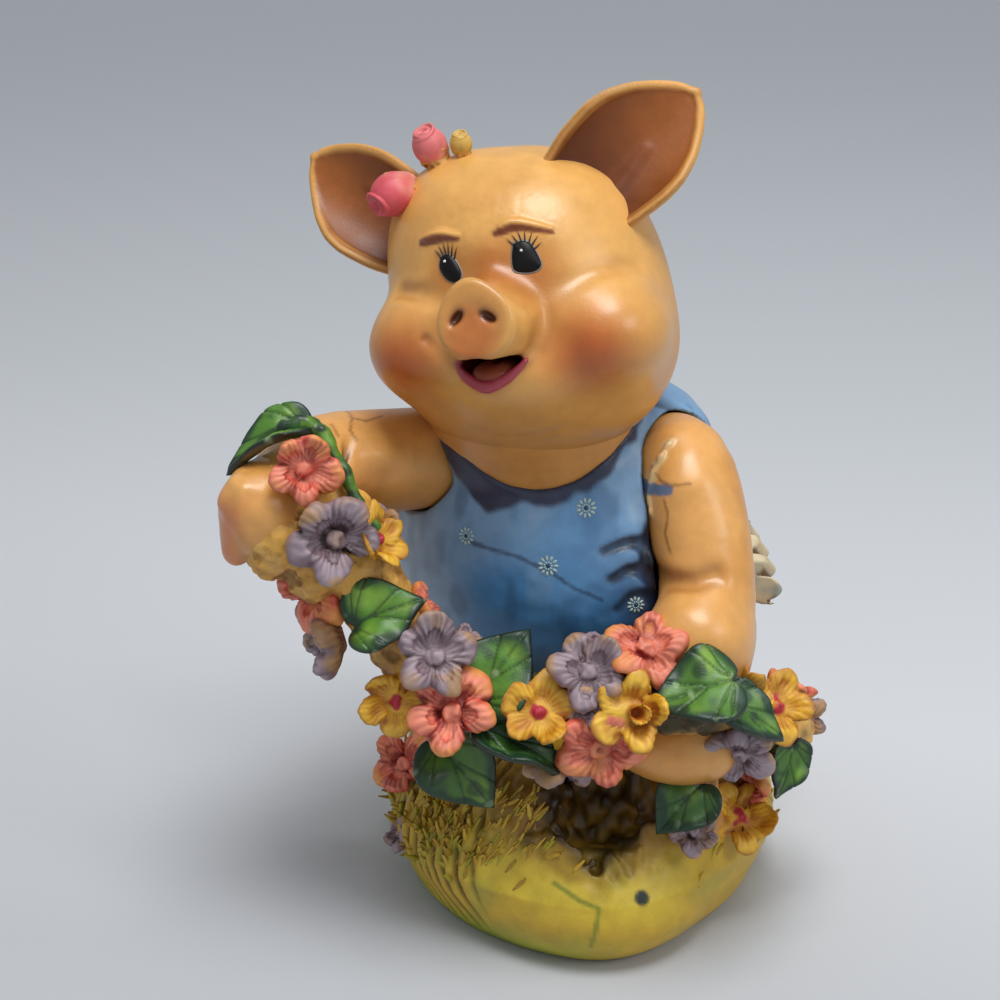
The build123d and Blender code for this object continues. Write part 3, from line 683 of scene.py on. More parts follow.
# painted shade in the folds
for fold in folds:
    in_fold = strand(points, fold, fold_widths) + 0.4 * lumps(points, 1.5, 40)
    colour = mix(colour, "#161A2A", 0.8 * (1 - step(in_fold, -0.2, 0.8)))
low = 1 - step(points[:, 2] + 2.0 * lumps(points, 4.0, 36), 46, 53)
colour = mix(colour, "#242C4C", 0.7 * low * (1 - step(points[:, 1], 0, 12)))
wide_collar = 1.6 + 3.4 * step(-points[:, 0], 6, 17) + 1.2 * lumps(points, 3.0, 34)
colour = mix(colour, "#28243C",
             0.93 * (1 - step(collar, wide_collar, wide_collar + 0.9)) * step(-points[:, 1], -6, 0))
from_sleeve = np.linalg.norm(points - sleeve_edge, axis=1) + lumps(points, 2.0, 44)
colour = mix(colour, "#2C3A5C", 0.8 * (1 - step(from_sleeve, 2.0, 4.4)))
# painted shade in the creases, darkest in the tightest
colour = mix(colour, "#1C2440", np.clip(0.7 * broad_crease, 0, 1))
colour = mix(colour, "#10131F", np.clip(crease * 1.4 - 0.2, 0, 1))
crack_pixels = ((467, 541), (490, 549), (518, 557), (548, 571), (574, 588), (602, 600))
crack = [seen_on(dress_body, pixel) for pixel in crack_pixels]
colour = mix(colour, "#16203A", 0.65 * line_on(points, crack, 0.05, 0.12, 0.5, 0.15 * lumps(points, 1.0, 43)))
# satin acrylic brushed thin: a soft sheen, with streaks of the coat below showing through
dress_paint = painted_casting("satin blue paint brushed over navy", 0.38, 0.45, 0.03, 0.1, 0.05)
dress = set_piece("dress_casting", points, faces, dress_paint, colour)
carried(dress, "blue_paint", "dress")

# Daisies: five small flowers of pale mint resin paint, dotted on the front of the dress with a fine tool.
# Each is a ring of eleven long petals round a ring of nine dots, with a navy dot in the middle.
round_eight = np.radians(np.arange(0, 360, 45))
bead_rows = [np.stack([np.cos(round_eight) * np.sin(b), np.sin(round_eight) * np.sin(b),
                       np.full(8, np.cos(b))], -1) for b in np.radians([36, 72, 108, 144])]
bead_points = np.vstack(bead_rows + [[(0, 0, 1), (0, 0, -1)]])
bead_faces = [(8 * r + k, 8 * r + 8 + k, 8 * r + 8 + (k + 1) % 8, 8 * r + (k + 1) % 8)
              for r in range(3) for k in range(8)]
bead_faces += [(32, k, (k + 1) % 8, (k + 2) % 8) for k in range(0, 8, 2)]
bead_faces += [(33, 24 + (k + 2) % 8, 24 + (k + 1) % 8, 24 + k) for k in range(0, 8, 2)]
bead = set_piece("bead_shape", bead_points / MM, bead_faces, dress_paint)
# each ring of a daisy: how many beads, its radius in mm, the size of a bead and its colour
daisy_rings = ((11, 1.6, (0.60, 0.32, 0.26), "#AEC4BE"), (9, 0.74, (0.26, 0.24, 0.22), "#A4C2C4"),
               (1, 0.0, (0.42, 0.42, 0.24), "#20384E"))
daisy_spots = (((423, 483), 0.72), ((466, 536), 0.74), ((548, 566), 0.86), ((586, 508), 0.84),
               ((636, 605), 0.74))
spots, sides, sizes, tones = [], [], [], []
for pixel, spread in daisy_spots:
    middle = seen_on(dress_form, pixel)
    out = slope(dress_form, middle[None].astype(np.float32), 1.0)[0][0]
    across = np.cross(up, out) / np.linalg.norm(np.cross(up, out))
    for number, ring, size, tone in daisy_rings:
        for turn in np.arange(number) * 2 * np.pi / number:
            way_out = np.cos(turn) * across + np.sin(turn) * np.cross(out, across)
            spots.append(middle + ring * spread * way_out)
            sides.append(way_out)
            sizes.append(np.array(size) * spread)
            tones.append(paint(tone))
spots = np.array(spots, np.float32)
for _ in range(3):
    face, rate = slope(dress_form, spots, 0.5)
    spots -= face * (dress_form(spots) / rate)[:, None]
daisies = planted("daisies", bead, spots, face, sides, np.array(sizes) * MM, np.array(tones), dress_paint)
carried(daisies, "cream_paint")

# Frill: a cream ruffle of resin, pinched into rounded pleats and pressed round the back of the hem.
# Its matt paint has patches of the teal wash, and painted shade in brown in the pleats.
hem_normal = np.array([0, -0.6157, 0.788])
hem_back = np.array([0, 0.788, 0.6157])
frill_half_width, frill_half_depth, frill_radius = 34.0, 31.5, 32.5
pleat_turns, pleat_reach = 29, 3.4  # each turn is two pleats
frill_front = 14.0  # mm behind the middle, where the frill begins


def frill_form(p):
    """the pleated ring, in the plane of the hem"""
    q = p - np.array([0, 10, 50])
    rise, away = q @ hem_normal, q @ hem_back + 3.64
    across = q[:, 0] + 2.5
    turn = np.arctan2(away / frill_half_depth, across / frill_half_width)
    ring = np.hypot(across / frill_half_width, away / frill_half_depth)
    pleat = np.abs(np.sin(turn * pleat_turns + 0.4 * np.sin(turn * 7))) ** 0.7
    outer = (ring - 1) * frill_radius - 0.6 - pleat_reach * pleat - 0.3 * np.clip(-rise, -3, 3)
    form = np.maximum(outer, (0.86 - ring) * frill_radius)
    form = -melt(-form, 3.6 + 0.7 * np.sin(turn * 13) - np.abs(rise - 0.6), 1.2)
    return np.maximum(form, frill_front - p[:, 1])


points, faces, way = cast(frill_form, (-46, 11, 38), (42, 47, 84), 0.4 * fine)
crease = hollows(frill_form, points, way, 1.2)
colour = base_coat(points, "#D8C6A0")
colour = mix(colour, "#A9977C", 0.5 * step(lumps(points, 3.0, 41), 0.0, 0.6))
colour = mix(colour, "#4F7C86", 0.55 * step(lumps(points, 4.0, 42), 0.35, 0.75))
# painted shade: brown in the pleats
colour = mix(colour, "#7A5430", np.clip(crease * 1.5, 0, 1) * 0.85)
# chalky matt acrylic: no clear lights, so that the pleats show by their shade alone
frill_paint = painted_casting("matt cream paint with washes", 0.55, 0.5, 0.05, 0.12)
frill = set_piece("frill_casting", points, faces, frill_paint, colour)
carried(frill, "cream_paint", "dress_frill")

# Head: skull, jaw, puffed cheeks and snout are one casting with the brows, sockets and nostrils sculpted in.
# It is airbrushed peach, with a rosy blush on cheeks and snout, and ochre painted shade in sockets, creases
# and low down.
head_middle = np.array([-9.6, -3.0, 109.0], np.float32)
head_axes = turned(z=-5.5) @ turned(x=-16.0) @ turned(y=-9.0)
lip_route = curve([(-6.8, -23.0, -8.6), (-5.2, -24.4, -10.8), (-1.8, -25.4, -12.7), (1.8, -25.2, -11.4),
                   (5.2, -24.6, -8.8)], 14)
lip_thickness = np.interp(range(14), [0, 3, 7, 10, 13], [0.3, 0.75, 1.0, 0.75, 0.3])
smile_routes = (curve([(-6.4, -24, -8.4), (-9.6, -23.6, -7.0), (-12.4, -22.2, -4.2)], 8),
                curve([(7.0, -25.0, -7.8), (8.6, -24.4, -7.0), (10.2, -23.6, -5.4)], 8))
snout_crease = curve([(6.0, -27.0, 4.0), (8.2, -26.2, 0.5), (8.6, -25.2, -3.5), (7.6, -24.8, -7.0)], 8)
cheek_creases = (curve([(8.0, -25.0, 1.2), (10.6, -22.4, 2.8), (16.3, -17.8, 5.4), (21.5, -11.4, 5.6)], 10),
                 curve([(-7.6, -25.0, 1.2), (-12, -21.0, 3.2), (-18.1, -16.6, 4.2)], 8))
nostrils = (((-3.5, -33.4, -1.5), 40.0), ((1.7, -33.4, -1.6), -60.0))


def head_mass(q):
    """the head without its mouth, in its own axes: x to its left, y back and z up"""
    form = melt(egg(q, (-0.8, 0.4, 6.4), (23.3, 21.8, 21.6)), egg(q, (0, 0, -7), (24.6, 21, 19)), 9.0)
    form = melt(form, egg(q, (-9, -2, 12), (15, 15, 15.4)), 3.0)
    for side in (-1, 1):
        form = melt(form, egg(q, (side * 15.2, -11.4, -5.2), (10.4, 11.0, 9.6)), 4.5)
    form = melt(form, egg(q, (-0.5, -14.5, -10.5), (11.5, 10.5, 8.0)), 5.0)
    form = melt(form, egg(q, (-0.6, -17, 1.2), (4.4, 8.4, 4.4)), 4.0)
    snout = melt(strand(q, [(-1.5, -10, -2.6), (-1.4, -40, -2.9)], [8.0, 4.6]),
                 strand(q, [(0.6, -10, -2.6), (0.7, -40, -2.9)], [8.0, 4.6]), 2.0)
    snout = melt(snout, strand(q, [(-0.4, -10, 0), (-0.4, -40, 0.6)], [7.0, 3.4]), 3.0)
    snout = -melt(-snout, q[:, 1] + 33.2, 1.3)
    form = melt(form, snout, 1.8)
    return scoop(form, strand(q, snout_crease, [0.8] * 8), 2.2)


def socketed(q):
    """the head with its eye sockets and the creases over its cheeks"""
    form = head_mass(q)
    form = scoop(form, egg(q, (-9.0, -25.6, 7.2), (6.6, 5.0, 5.6)), 3.5)
    form = scoop(form, egg(q, (6.6, -27.4, 7.8), (7.4, 5.0, 6.0)), 4.5)
    for route in cheek_creases:
        form = scoop(form, strand(q, route, np.linspace(0.7, 0.1, len(route))), 3.0)
    return form


def on_form(form, x, z, lift=0.0):
    """the place on a form in front of a spot, raised by a lift in mm"""
    q = np.stack([x, np.full(len(x), -34.0), z], -1).astype(np.float32)
    for _ in range(60):
        q[:, 1] += 0.8 * form(q)
    return q + slope(form, q, 0.5)[0] * np.asarray(lift).reshape(-1, 1)


brow_lines = (curve([(-13.4, 12.2), (-9.7, 12.8), (-6.4, 12.2)], 8),
              curve([(0.4, 12.4), (3.4, 13.4), (9.2, 12.0)], 8))
brow_routes = [on_form(socketed, line[:, 0], line[:, 1], 0.1) for line in brow_lines]


def head_form(q):
    """the whole head: brows, flat snout with its nostrils, open mouth with its lips, smile and chin"""
    form = socketed(q)
    for route in brow_routes:
        form = melt(form, strand(q, route, [0.4, 0.75, 0.85, 0.85, 0.8, 0.65, 0.5, 0.25]), 0.6)
    form = scoop(form, egg(q, (-0.6, -36.2, -1.6), (4.4, 3.3, 4.4)), 1.4)
    for middle, tilt in nostrils:
        form = scoop(form, egg(q, middle, (0.7, 1.8, 1.5), turned(y=tilt)), 1.0)
    form = scoop(form, egg(q, (-0.9, -24.0, -9.0), (5.3, 9.0, 2.7)), 0.7)
    form = melt(form, strand(q, lip_route, lip_thickness), 0.8)
    for route in smile_routes:
        form = scoop(form, strand(q, route, [0.5, 0.5, 0.45, 0.4, 0.35, 0.3, 0.2, 0.1]), 1.8)
    form = scoop(form, strand(q, curve([(-4, -14.5, -22.4), (1, -14.6, -22.6), (9, -14.4, -20.8)], 8),
                              [0.2] * 8), 1.8)
    pits = step(-egg(q, (-1, -22, 14.5), (13, 8, 4.5)), -3, 1)
    form += 0.05 * pits * lumps(q, 0.8, 11) + 0.08 * lumps(q, 7.0, 12)
    return form


def in_head(p):
    """points of the frame in the head's own axes"""
    return (p - head_middle) @ head_axes


def out_of_head(q):
    """points of the head's own axes in the frame"""
    return np.asarray(q) @ head_axes.T + head_middle


def from_spot(q, middle):
    """how far points are from a spot, in mm"""
    return np.sqrt(((q - middle) ** 2).sum(-1))


q, faces, way = cast(head_form, (-28, -36, -28), (28, 25, 30), 0.4 * fine)
crease = hollows(head_form, q, way, 1.2)
broad_crease = hollows(head_form, q, way, 4.0)
colour = base_coat(q, "#DEA658")
# painted shade: darker ochre low on the face
colour = mix(colour, "#C68434", 0.6 * step(-q[:, 2] + 0.5 * q[:, 1], -6, 16))
colour = mix(colour, "#CE9048", 0.4 * step(lumps(q, 8.0, 15), 0.0, 0.8))
# painted shade: ochre in the eye sockets and between the eyes
for middle, reach in (((-8.5, -22, 6.4), 7.5), ((6.5, -23, 5.4), 9.5), ((-0.6, -23, 6.5), 7.5)):
    colour = mix(colour, "#AC5E14", 0.85 * (1 - step(from_spot(q, middle), 1.0, reach)))
for middle in ((-17.0, -20.5, -7.8), (15.0, -21.0, -8.0)):
    colour = mix(colour, "#B64C12", 0.85 * (1 - step(from_spot(q, middle), 1.0, 12.0)))
colour = mix(colour, "#AE3E0C", 0.96 * (1 - step(from_spot(q, (-1.0, -33.5, -4.0)), 2.2, 6.2)))
snout_rim = step(-egg(q, (-0.6, -33, -1.6), (5.4, 4, 5.4)), -1.0, 0.6)
colour = mix(colour, "#C98645", 0.6 * (1 - step(np.abs(q[:, 1] + 32.6), 0.6, 1.6)) * snout_rim)
# painted shade in the creases
colour = mix(colour, "#94551C", np.clip(1.2 * broad_crease - 0.12, 0, 1) * 0.8)
colour = mix(colour, "#7A4420", np.clip(1.3 * crease - 0.35, 0, 1))
# painted shade inside the nostrils
for middle, tilt in nostrils:
    in_nostril = step(-egg(q, middle, (0.9, 3.0, 1.7), turned(y=tilt)), -0.5, 0.35)
    colour = mix(colour, "#5A2A12", 0.9 * in_nostril * step(q[:, 1], -33.0, -32.4))
for route in brow_routes:
    under_brow = strand(q, route - (0, 0, 0.5), [0.3, 0.6, 0.7, 0.7, 0.6, 0.45, 0.3, 0.1])
    colour = mix(colour, "#8A4A2C", 1 - step(under_brow, 0.1, 0.5))
throat = step(-egg(q, (-0.9, -23.5, -9.0), (5.5, 9.2, 2.9)), -0.45, 0.1)
colour = mix(colour, "#6E2A1C", throat * step(q[:, 1], -27.5, -25.2))
lip_widths = np.interp(range(14), [0, 3, 7, 10, 13], [0.35, 0.85, 1.1, 0.85, 0.35])
colour = mix(colour, "#A83C4C", 1 - step(strand(q, lip_route, lip_widths), 0.0, 0.5))
head = set_piece("head_casting", out_of_head(q), faces, skin_paint, colour)
carried(head, "skin_paint", "head")

# Eyes: laid on in gloss black over a grey ring, with a painted highlight of white, and lashes drawn with a
# liner brush.
# The tongue is a separate thumb of resin in the mouth.
def laid_on(name, outline, height, finish, colour, rings=8):
    """a low dome of paint or resin on the face inside an outline of corners"""
    outline = np.array(outline, float)
    ring = curve(np.vstack([outline, outline[:1]]), 49)[:-1]
    middle = outline.mean(0)
    spreads = np.sin(np.linspace(0.08, 1, rings) * np.pi / 2)
    rows = np.vstack([middle + (ring - middle) * spread for spread in spreads])
    share = np.repeat(spreads, 48)
    lift = height * np.sqrt(np.clip(1 - share ** 2, 0, 1)) - 0.12 * (share > 0.999)
    points = on_form(head_form, rows[:, 0], rows[:, 1], lift)
    faces = []
    for r in range(rings - 1):
        for s in range(48):
            a, b = r * 48 + s, r * 48 + (s + 1) % 48
            faces.append((a, b, b + 48, a + 48))
    points = np.vstack([points, points[:48].mean(0)])
    for s in range(0, 48, 2):
        faces.append((len(points) - 1, (s + 2) % 48, s + 1, s))
    faces = np.array(faces)[:, ::-1]
    piece = set_piece(name, out_of_head(points), faces, finish, base_coat(points, colour))
    return carried(piece, "skin_paint")


# gloss enamel: a hard small light on a black that stays deep
eye_gloss = painted_casting("gloss black enamel", 0.4, 0.6, 0.0, 0.02)
eye_gloss.node_tree.nodes["Principled BSDF"].inputs["Specular IOR Level"].default_value = 0.25
# thin flat paint, laid on in grey, near-black and the white of the painted highlights: no light of its own
liner = painted_casting("dark liner paint", 0.4, 0.5, 0.0, 0.02)
# outlines in mm to the head's left and up
eye_right_outline = [(-9.8, 9.0), (-8.5, 9.4), (-7.1, 8.4), (-6.0, 6.4), (-6.2, 5.1), (-7.3, 4.6),
                     (-8.9, 5.4), (-10.0, 7.2)]
eye_left_outline = [(3.1, 10.1), (4.6, 10.5), (5.9, 9.9), (7.0, 8.0), (7.5, 6.3), (6.6, 5.4), (4.8, 5.2),
                    (3.1, 5.8), (2.8, 8.0)]
for name, outline, glint_spot in (("eye_right", eye_right_outline, (-8.7, 8.2)),
                           ("eye_left", eye_left_outline, (4.4, 8.8))):
    outline = np.array(outline)
    laid_on(name + "_ring", outline.mean(0) + (outline - outline.mean(0)) * 1.10, 0.30, liner, "#7E756C")
    laid_on(name, outline, 0.75, eye_gloss, "#0B0A0B")
    # a painted highlight: a white dot on each eye
    painted_glint = np.array([(np.cos(t), np.sin(t)) for t in np.radians(range(0, 360, 45))]) * 0.34 + glint_spot
    laid_on(name + "_spark", painted_glint, 0.95, liner, "#E8E8E8")

lash_roots = (((-9.7, 9.0), (-9.2, 9.2), (-8.7, 9.3), (-8.2, 9.2), (-7.7, 8.9), (-7.2, 8.5)),
              ((3.4, 9.5), (3.9, 9.9), (4.5, 10.0), (5.0, 10.0), (5.6, 9.8), (6.0, 9.4), (6.3, 8.8)))
lash_tips = (((-10.9, 10.4), (-10.1, 11.1), (-9.2, 11.5), (-8.2, 11.5), (-7.3, 11.2), (-6.5, 10.5)),
             ((1.9, 11.1), (2.8, 11.8), (3.8, 12.3), (5.0, 12.3), (6.2, 11.9), (7.2, 11.2), (7.7, 10.0)))
lash_width = 0.17  # mm at the root, from the middle of a lash to its edge
hairs, hair_faces = [], []
for roots, tips in zip(lash_roots, lash_tips):
    for root, tip in zip(roots, tips):
        run = np.linspace(0, 1, 9)
        x = root[0] + (tip[0] - root[0]) * run
        z = root[1] + (tip[1] - root[1]) * run ** 0.85
        axis = on_form(head_form, x, z, 0.10 + 0.1 * run)
        across = np.cross(np.gradient(axis, axis=0), [0, -1, 0.2])
        across /= np.linalg.norm(across, axis=1)[:, None]
        out = np.cross(across, np.gradient(axis, axis=0))
        out /= np.linalg.norm(out, axis=1)[:, None]
        thick = lash_width * (1.05 - run[:, None])
        start = sum(len(h) for h in hairs)
        hairs.append(np.concatenate([axis + thick * edge for edge in (across, out, -across, -out)]))
        for side in range(4):
            for s in range(8):
                a, b = start + side * 9 + s, start + (side + 1) % 4 * 9 + s
                hair_faces.append((a, b, b + 1, a + 1))
hairs = np.vstack(hairs)
lashes = set_piece("lashes", out_of_head(hairs), hair_faces, liner, base_coat(hairs, "#26261F"))
carried(lashes, "skin_paint")


def tongue_form(q):
    """a tongue with a groove along it"""
    form = egg(q, (-0.8, -20.6, -10.3), (4.2, 5.8, 2.1), turned(x=8))
    return scoop(form, strand(q, [(-0.6, -27, -8.2), (-0.6, -15, -8.4)], [0.5, 0.5]), 1.2)


points, faces, way = cast(tongue_form, (-6, -28, -15), (5, -13, -7), 0.3 * fine)
tongue = set_piece("tongue", out_of_head(points), faces, eye_gloss, base_coat(points, "#8C4430"))
carried(tongue, "skin_paint")

# Ears: cupped leaves of resin set into the skull, with rolled rims and a fold at the root.
# They are peach outside and washed brown inside, with painted shade darkest towards the head and in the
# creases.
ear_rows = np.array([[-6, 7.0], [-2, 8.2], [3, 9.6], [9, 10.2], [13, 9.7], [17, 8.0], [20.5, 5.4], [23, 2.8],
                     [24.3, 0.0]])  # place along the ear and half its width there
ear_length, cup_height, cup_radius, rim_radius = 24.3, 13, 11.9, 11.6


def ear_axes(side, lift, sweep):
    """an ear's own axes: along it, across it, and out of its hollow"""
    lift, sweep = np.radians([lift, sweep])
    along = np.array([side * np.cos(lift) * np.cos(sweep), np.cos(lift) * np.sin(sweep), np.sin(lift)])
    facing = np.array([side * np.sin(sweep), -np.cos(sweep), 0.0])
    across = np.cross(facing, along)
    return np.stack([along, across, np.cross(along, across)], -1).astype(np.float32)


def ear_form(u, slim):
    """an ear in its own axes, with one half narrower than the other"""
    half = np.interp(u[:, 0], ear_rows[:, 0], ear_rows[:, 1]) * np.where(u[:, 1] < 0, slim, 1.0)
    cup = np.hypot(u[:, 1], u[:, 2] - cup_height) - cup_radius
    edge = np.abs(u[:, 1]) - half
    edge = np.maximum(edge, (u[:, 0] - ear_length) * 0.6)
    form = -melt(-(np.abs(cup) - 0.9), -edge * 0.85, 1.2)
    for side in (-slim, 1):
        bend = np.arcsin(np.clip(np.abs(side) * ear_rows[:, 1] / 12.2, 0, 0.99))
        rim = np.stack([ear_rows[:, 0], np.sign(side) * rim_radius * np.sin(bend),
                        cup_height - rim_radius * np.cos(bend)], -1)
        form = melt(form, strand(u, curve(rim[1:], 18), np.linspace(0.8, 0.6, 18)), 0.8)
    form = melt(form, egg(u, (-3.5, 0, 2.5), (4.5, 7.5, 4.0)), 3.0)
    fold_route = curve([(-2, -4, 3.0), (5, -3, 1.8), (12, -1.5, 1.6)], 8)
    return melt(form, strand(u, fold_route, [1.0, 0.9, 0.8, 0.7, 0.6, 0.5, 0.3, 0.1]), 2.0)


# a thin wash rubbed over the skin paint: duller than the face
ear_wash = painted_casting("brown wash over peach paint in the ears", 0.46, 0.4, 0.04, 0.1, 0.0)
# each ear: its side, its root in the head's axes, how far it is raised and swept back, and its narrow half
for side, name, spot, lift, sweep, slim in ((1, "ear_left", (11.8, -3.4, 18.6), 38, 10, 1.0),
                                            (-1, "ear_right", (-18.6, -0.6, 15.2), 36.5, 4, 0.8)):
    axes = ear_axes(side, lift, sweep)

    def this_ear(u):
        return ear_form(u, slim)

    points, faces, way = cast(this_ear, (-8, -13, -2.5), (26.5, 13, 13), 0.36 * fine)
    inner = 11.4 - np.hypot(points[:, 1], points[:, 2] - cup_height)
    cupped = step(way[:, 2], 0.1, 0.6) * step(inner, -0.2, 0.5)
    half = np.interp(points[:, 0], ear_rows[:, 0], ear_rows[:, 1]) * np.where(points[:, 1] < 0, slim, 1.0)
    rim = 1 - step(half - np.abs(points[:, 1]), 0.5, 1.8)
    deep = 1 - step(points[:, 0] + 1.5 * lumps(points, 5.0, 61), -2, 20)
    crease = hollows(this_ear, points, way, 2.0)
    colour = base_coat(points, "#D89E52")
    colour = mix(colour, "#8C4208", 0.92 * cupped * (1 - rim))
    # painted shade: darkest inside the cup towards the head, and in the creases
    colour = mix(colour, "#502004", (0.95 if side > 0 else 0.75) * cupped * deep * (1 - rim))
    colour = mix(colour, "#6B3818", 0.6 * np.clip(crease * 1.3, 0, 1))
    placed = points @ axes.T + np.array(spot)
    ear = set_piece(name + "_casting", out_of_head(placed), faces, ear_wash, colour)
    carried(ear, "skin_paint", name)

# Rosebuds: three little buds of resin, rolled up and pushed into the soft head beside the right ear.
# They sit in rough tan sheaths. Two are brushed pink with lighter tips, and the smallest is ochre and green.
# dry matt acrylic: soft, without lights, so that each petal shows by its colour
petal_paint = painted_casting("matt brushed paint on petals", 0.5, 0.35, 0.05, 0.14)


def node_points(name):
    """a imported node's corners in mm"""
    corners = np.empty(len(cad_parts[name].data.vertices) * 3, np.float32)
    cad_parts[name].data.vertices.foreach_get("co", corners)
    return np.unique(corners.reshape(-1, 3).round(6), axis=0) / MM


def head_at(p):
    """distance from the head, at points of the frame"""
    return head_form(in_head(p).astype(np.float32))


# each bud: its pixel in the photograph, its aim, its radius in mm, and its main and light colours
bud_spots = (("rosebud_low", (393, 194), (-0.50, -0.60, -0.35), 3.7, "#D4545E", "#E8A088"),
             ("rosebud_high", (430, 146), (-0.3, -0.35, 0.85), 3.0, "#DC7474", "#F0B09C"),
             ("rosebud_small", (461, 144), (-0.1, -0.3, 0.9), 1.9, "#D0A850", "#6F8A3A"))


def bud_form(u):
    """a rosebud that opens along z, one mm in radius"""
    form = melt(egg(u, (0, 0, 0), (1.0, 1.0, 1.12)), egg(u, (0, 0, -0.8), (0.55, 0.55, 0.6)), 0.3)
    turn = np.arctan2(u[:, 1], u[:, 0])
    form = scoop(form, egg(u, (0.05, -0.1, 1.35), (0.42, 0.42, 0.5)), 0.12)
    for start, reach in ((0.0, 0.62), (2.2, 0.50), (4.2, 0.34)):
        ring = np.hypot(np.hypot(u[:, 0], u[:, 1]) - reach,
                        u[:, 2] - 0.92 - 0.12 * np.sin(turn - start)) - 0.085
        form = melt(form, ring, 0.08)
    return form


for name, pixel, aim, size, main, light in bud_spots:
    corners = node_points(name)
    spot = seen_at(pixel, (corners.max(0) + corners.min(0)) / 2)
    root = spot.copy()
    for _ in range(6):
        root = root - slope(head_at, root[None], 0.5)[0][0] * head_at(root[None])[0]
    spot = root + (spot - root) * min(1, 1.25 * size / np.linalg.norm(spot - root))
    aim = np.array(aim) / np.linalg.norm(aim)
    side = np.cross((0, 0, 1), aim)
    side /= np.linalg.norm(side)
    axes = np.stack([side, np.cross(aim, side), aim], -1)
    points, faces, way = cast(bud_form, (-1.3, -1.3, -1.5), (1.3, 1.3, 1.4), 0.075 * fine)
    crease = hollows(bud_form, points, way, 0.25)
    colour = base_coat(points, main)
    colour = mix(colour, light, 0.7 * step(-points[:, 2] + 0.5 * lumps(points, 0.5, 4), 0.0, 0.9))
    # painted shade in the creases of the bud
    colour = mix(colour, "#8E3038" if size > 2 else "#5E5A20", np.clip(crease * 1.2, 0, 1) * 0.8)
    bud = set_piece(name + "_bud", points @ axes.T * size + np.array(spot), faces, petal_paint, colour)
    carried(bud, "pink_paint", name)
    sheath_route = curve([spot - 0.1 * size * aim, 0.5 * (spot - 0.9 * size * aim) + 0.5 * root,
                          root + 0.5 * (root - spot)], 9)

    def sheath_form(p):
        form = strand(p, sheath_route, np.linspace(0.86, 0.62, 9) * size)
        form = scoop(form, egg(p, spot + 0.3 * size * aim, (0.85 * size, 0.85 * size, 0.85 * size)), 0.2)
        return form + 0.16 * size * lumps(p, 0.42 * size, 62) + 0.08 * size * lumps(p, 0.2 * size, 63)

    low, high = sheath_route.min(0) - 1.4 * size, sheath_route.max(0) + 1.4 * size
    points, faces, way = cast(sheath_form, low, high, 0.26 * fine)
    colour = mix(base_coat(points, "#D39A50"), "#E2B872", 0.6 * step(lumps(points, 1.2, 64), 0, 0.6))
    # painted shade in the hollows of the sheath
    colour = mix(colour, "#7A4A1E", np.clip(1.4 * hollows(sheath_form, points, way, 0.5), 0, 1))
    sheath = set_piece(name + "_sheath", points, faces, petal_paint, colour)
    carried(sheath, "clay")

# Garland core: a rope of ochre clay rolled by hand and left rough, which both hands hold.
# The blooms are pressed on it, and a stub of the same clay stands on the grass under the left hand.
rope_route = curve([(-46.5, -33.0, 84.5), (-44.9, -31, 83.5), (-36.9, -31.3, 76.7), (-31.1, -31.9, 65.9),
                    (-25.3, -32.9, 56.6), (-15.9, -32.9, 50.8), (-5, -31.6, 48.1), (5.2, -30.4, 48.1),
                    (15.3, -29.5, 48.9), (24.8, -27.9, 48.9), (33.5, -18, 44.3), (40, -7.8, 35)], 40)
rope_radii = np.interp(np.linspace(0, 1, 40), [0, 0.1, 0.2, 0.35, 0.8, 1.0], [5.0, 6.6, 6.6, 5.8, 5.2, 3.4])


def rope_form(p):
    """the rope, with the lumps that are squeezed up round the right hand"""
    form = strand(p, rope_route, rope_radii)
    form = melt(form, egg(p, (-46.0, -38.5, 76.5), (5.2, 4.0, 6.0), turned(y=25)), 2.5)
    form = melt(form, egg(p, (-40.0, -37.0, 70.5), (5.0, 3.6, 4.4)), 2.5)
    rough = lumps(p, 3.4, 51) + 0.5 * lumps(p, 1.6, 52) + 0.25 * lumps(p, 0.8, 53)
    return form + 0.85 * rough


points, faces, way = cast(rope_form, (-55, -46, 28), (47, -2, 94), 0.42 * fine)
crease = hollows(rope_form, points, way, 1.5)
colour = base_coat(points, "#D8A44C")
colour = mix(colour, "#E3B56A", 0.6 * step(lumps(points, 3.0, 54), 0, 0.7))
# painted shade: darker where the rope faces down
colour = mix(colour, "#B9773A", 0.5 * step(-way[:, 2], 0.0, 0.9))
dark_run = step(points[:, 0] + 3 * lumps(points, 3.0, 56), -22, -15) * (1 - step(points[:, 0], 26, 34))
upper = step(way[:, 2] + 0.5 * lumps(points, 3.5, 57), -1.1, -0.4)
colour = mix(colour, "#17281C", 0.92 * dark_run * upper)
# painted shade in the creases
colour = mix(colour, "#6E4418", np.clip(crease * 1.5, 0, 1) * 0.9)
# unvarnished modelling clay: dull, with the grain of the fingers
clay = painted_casting("bare ochre clay pressed by hand", 0.6, 0.45, 0.12, 0.16)
rope = set_piece("rope_core", points, faces, clay, colour)
carried(rope, "clay", "garland_rope")


def foot_form(p):
    """the stub under the left hand, wider at its foot"""
    form = strand(p, [(22.6, -21.5, 22), (22.6, -21.5, 33)], [6.2, 4.6])
    return form + 0.6 * lumps(p, 2.6, 58) + 0.3 * lumps(p, 1.2, 59)


points, faces, way = cast(foot_form, (14, -30, 20), (31, -13, 38), 0.4 * fine)
crease = hollows(foot_form, points, way, 1.2)
# painted shade in the creases of the stub
colour = mix(base_coat(points, "#CF9550"), "#7E4E22", np.clip(crease * 1.4, 0, 1))
foot = set_piece("clay_foot", points, faces, clay, colour)
carried(foot, "clay", "garland_foot")

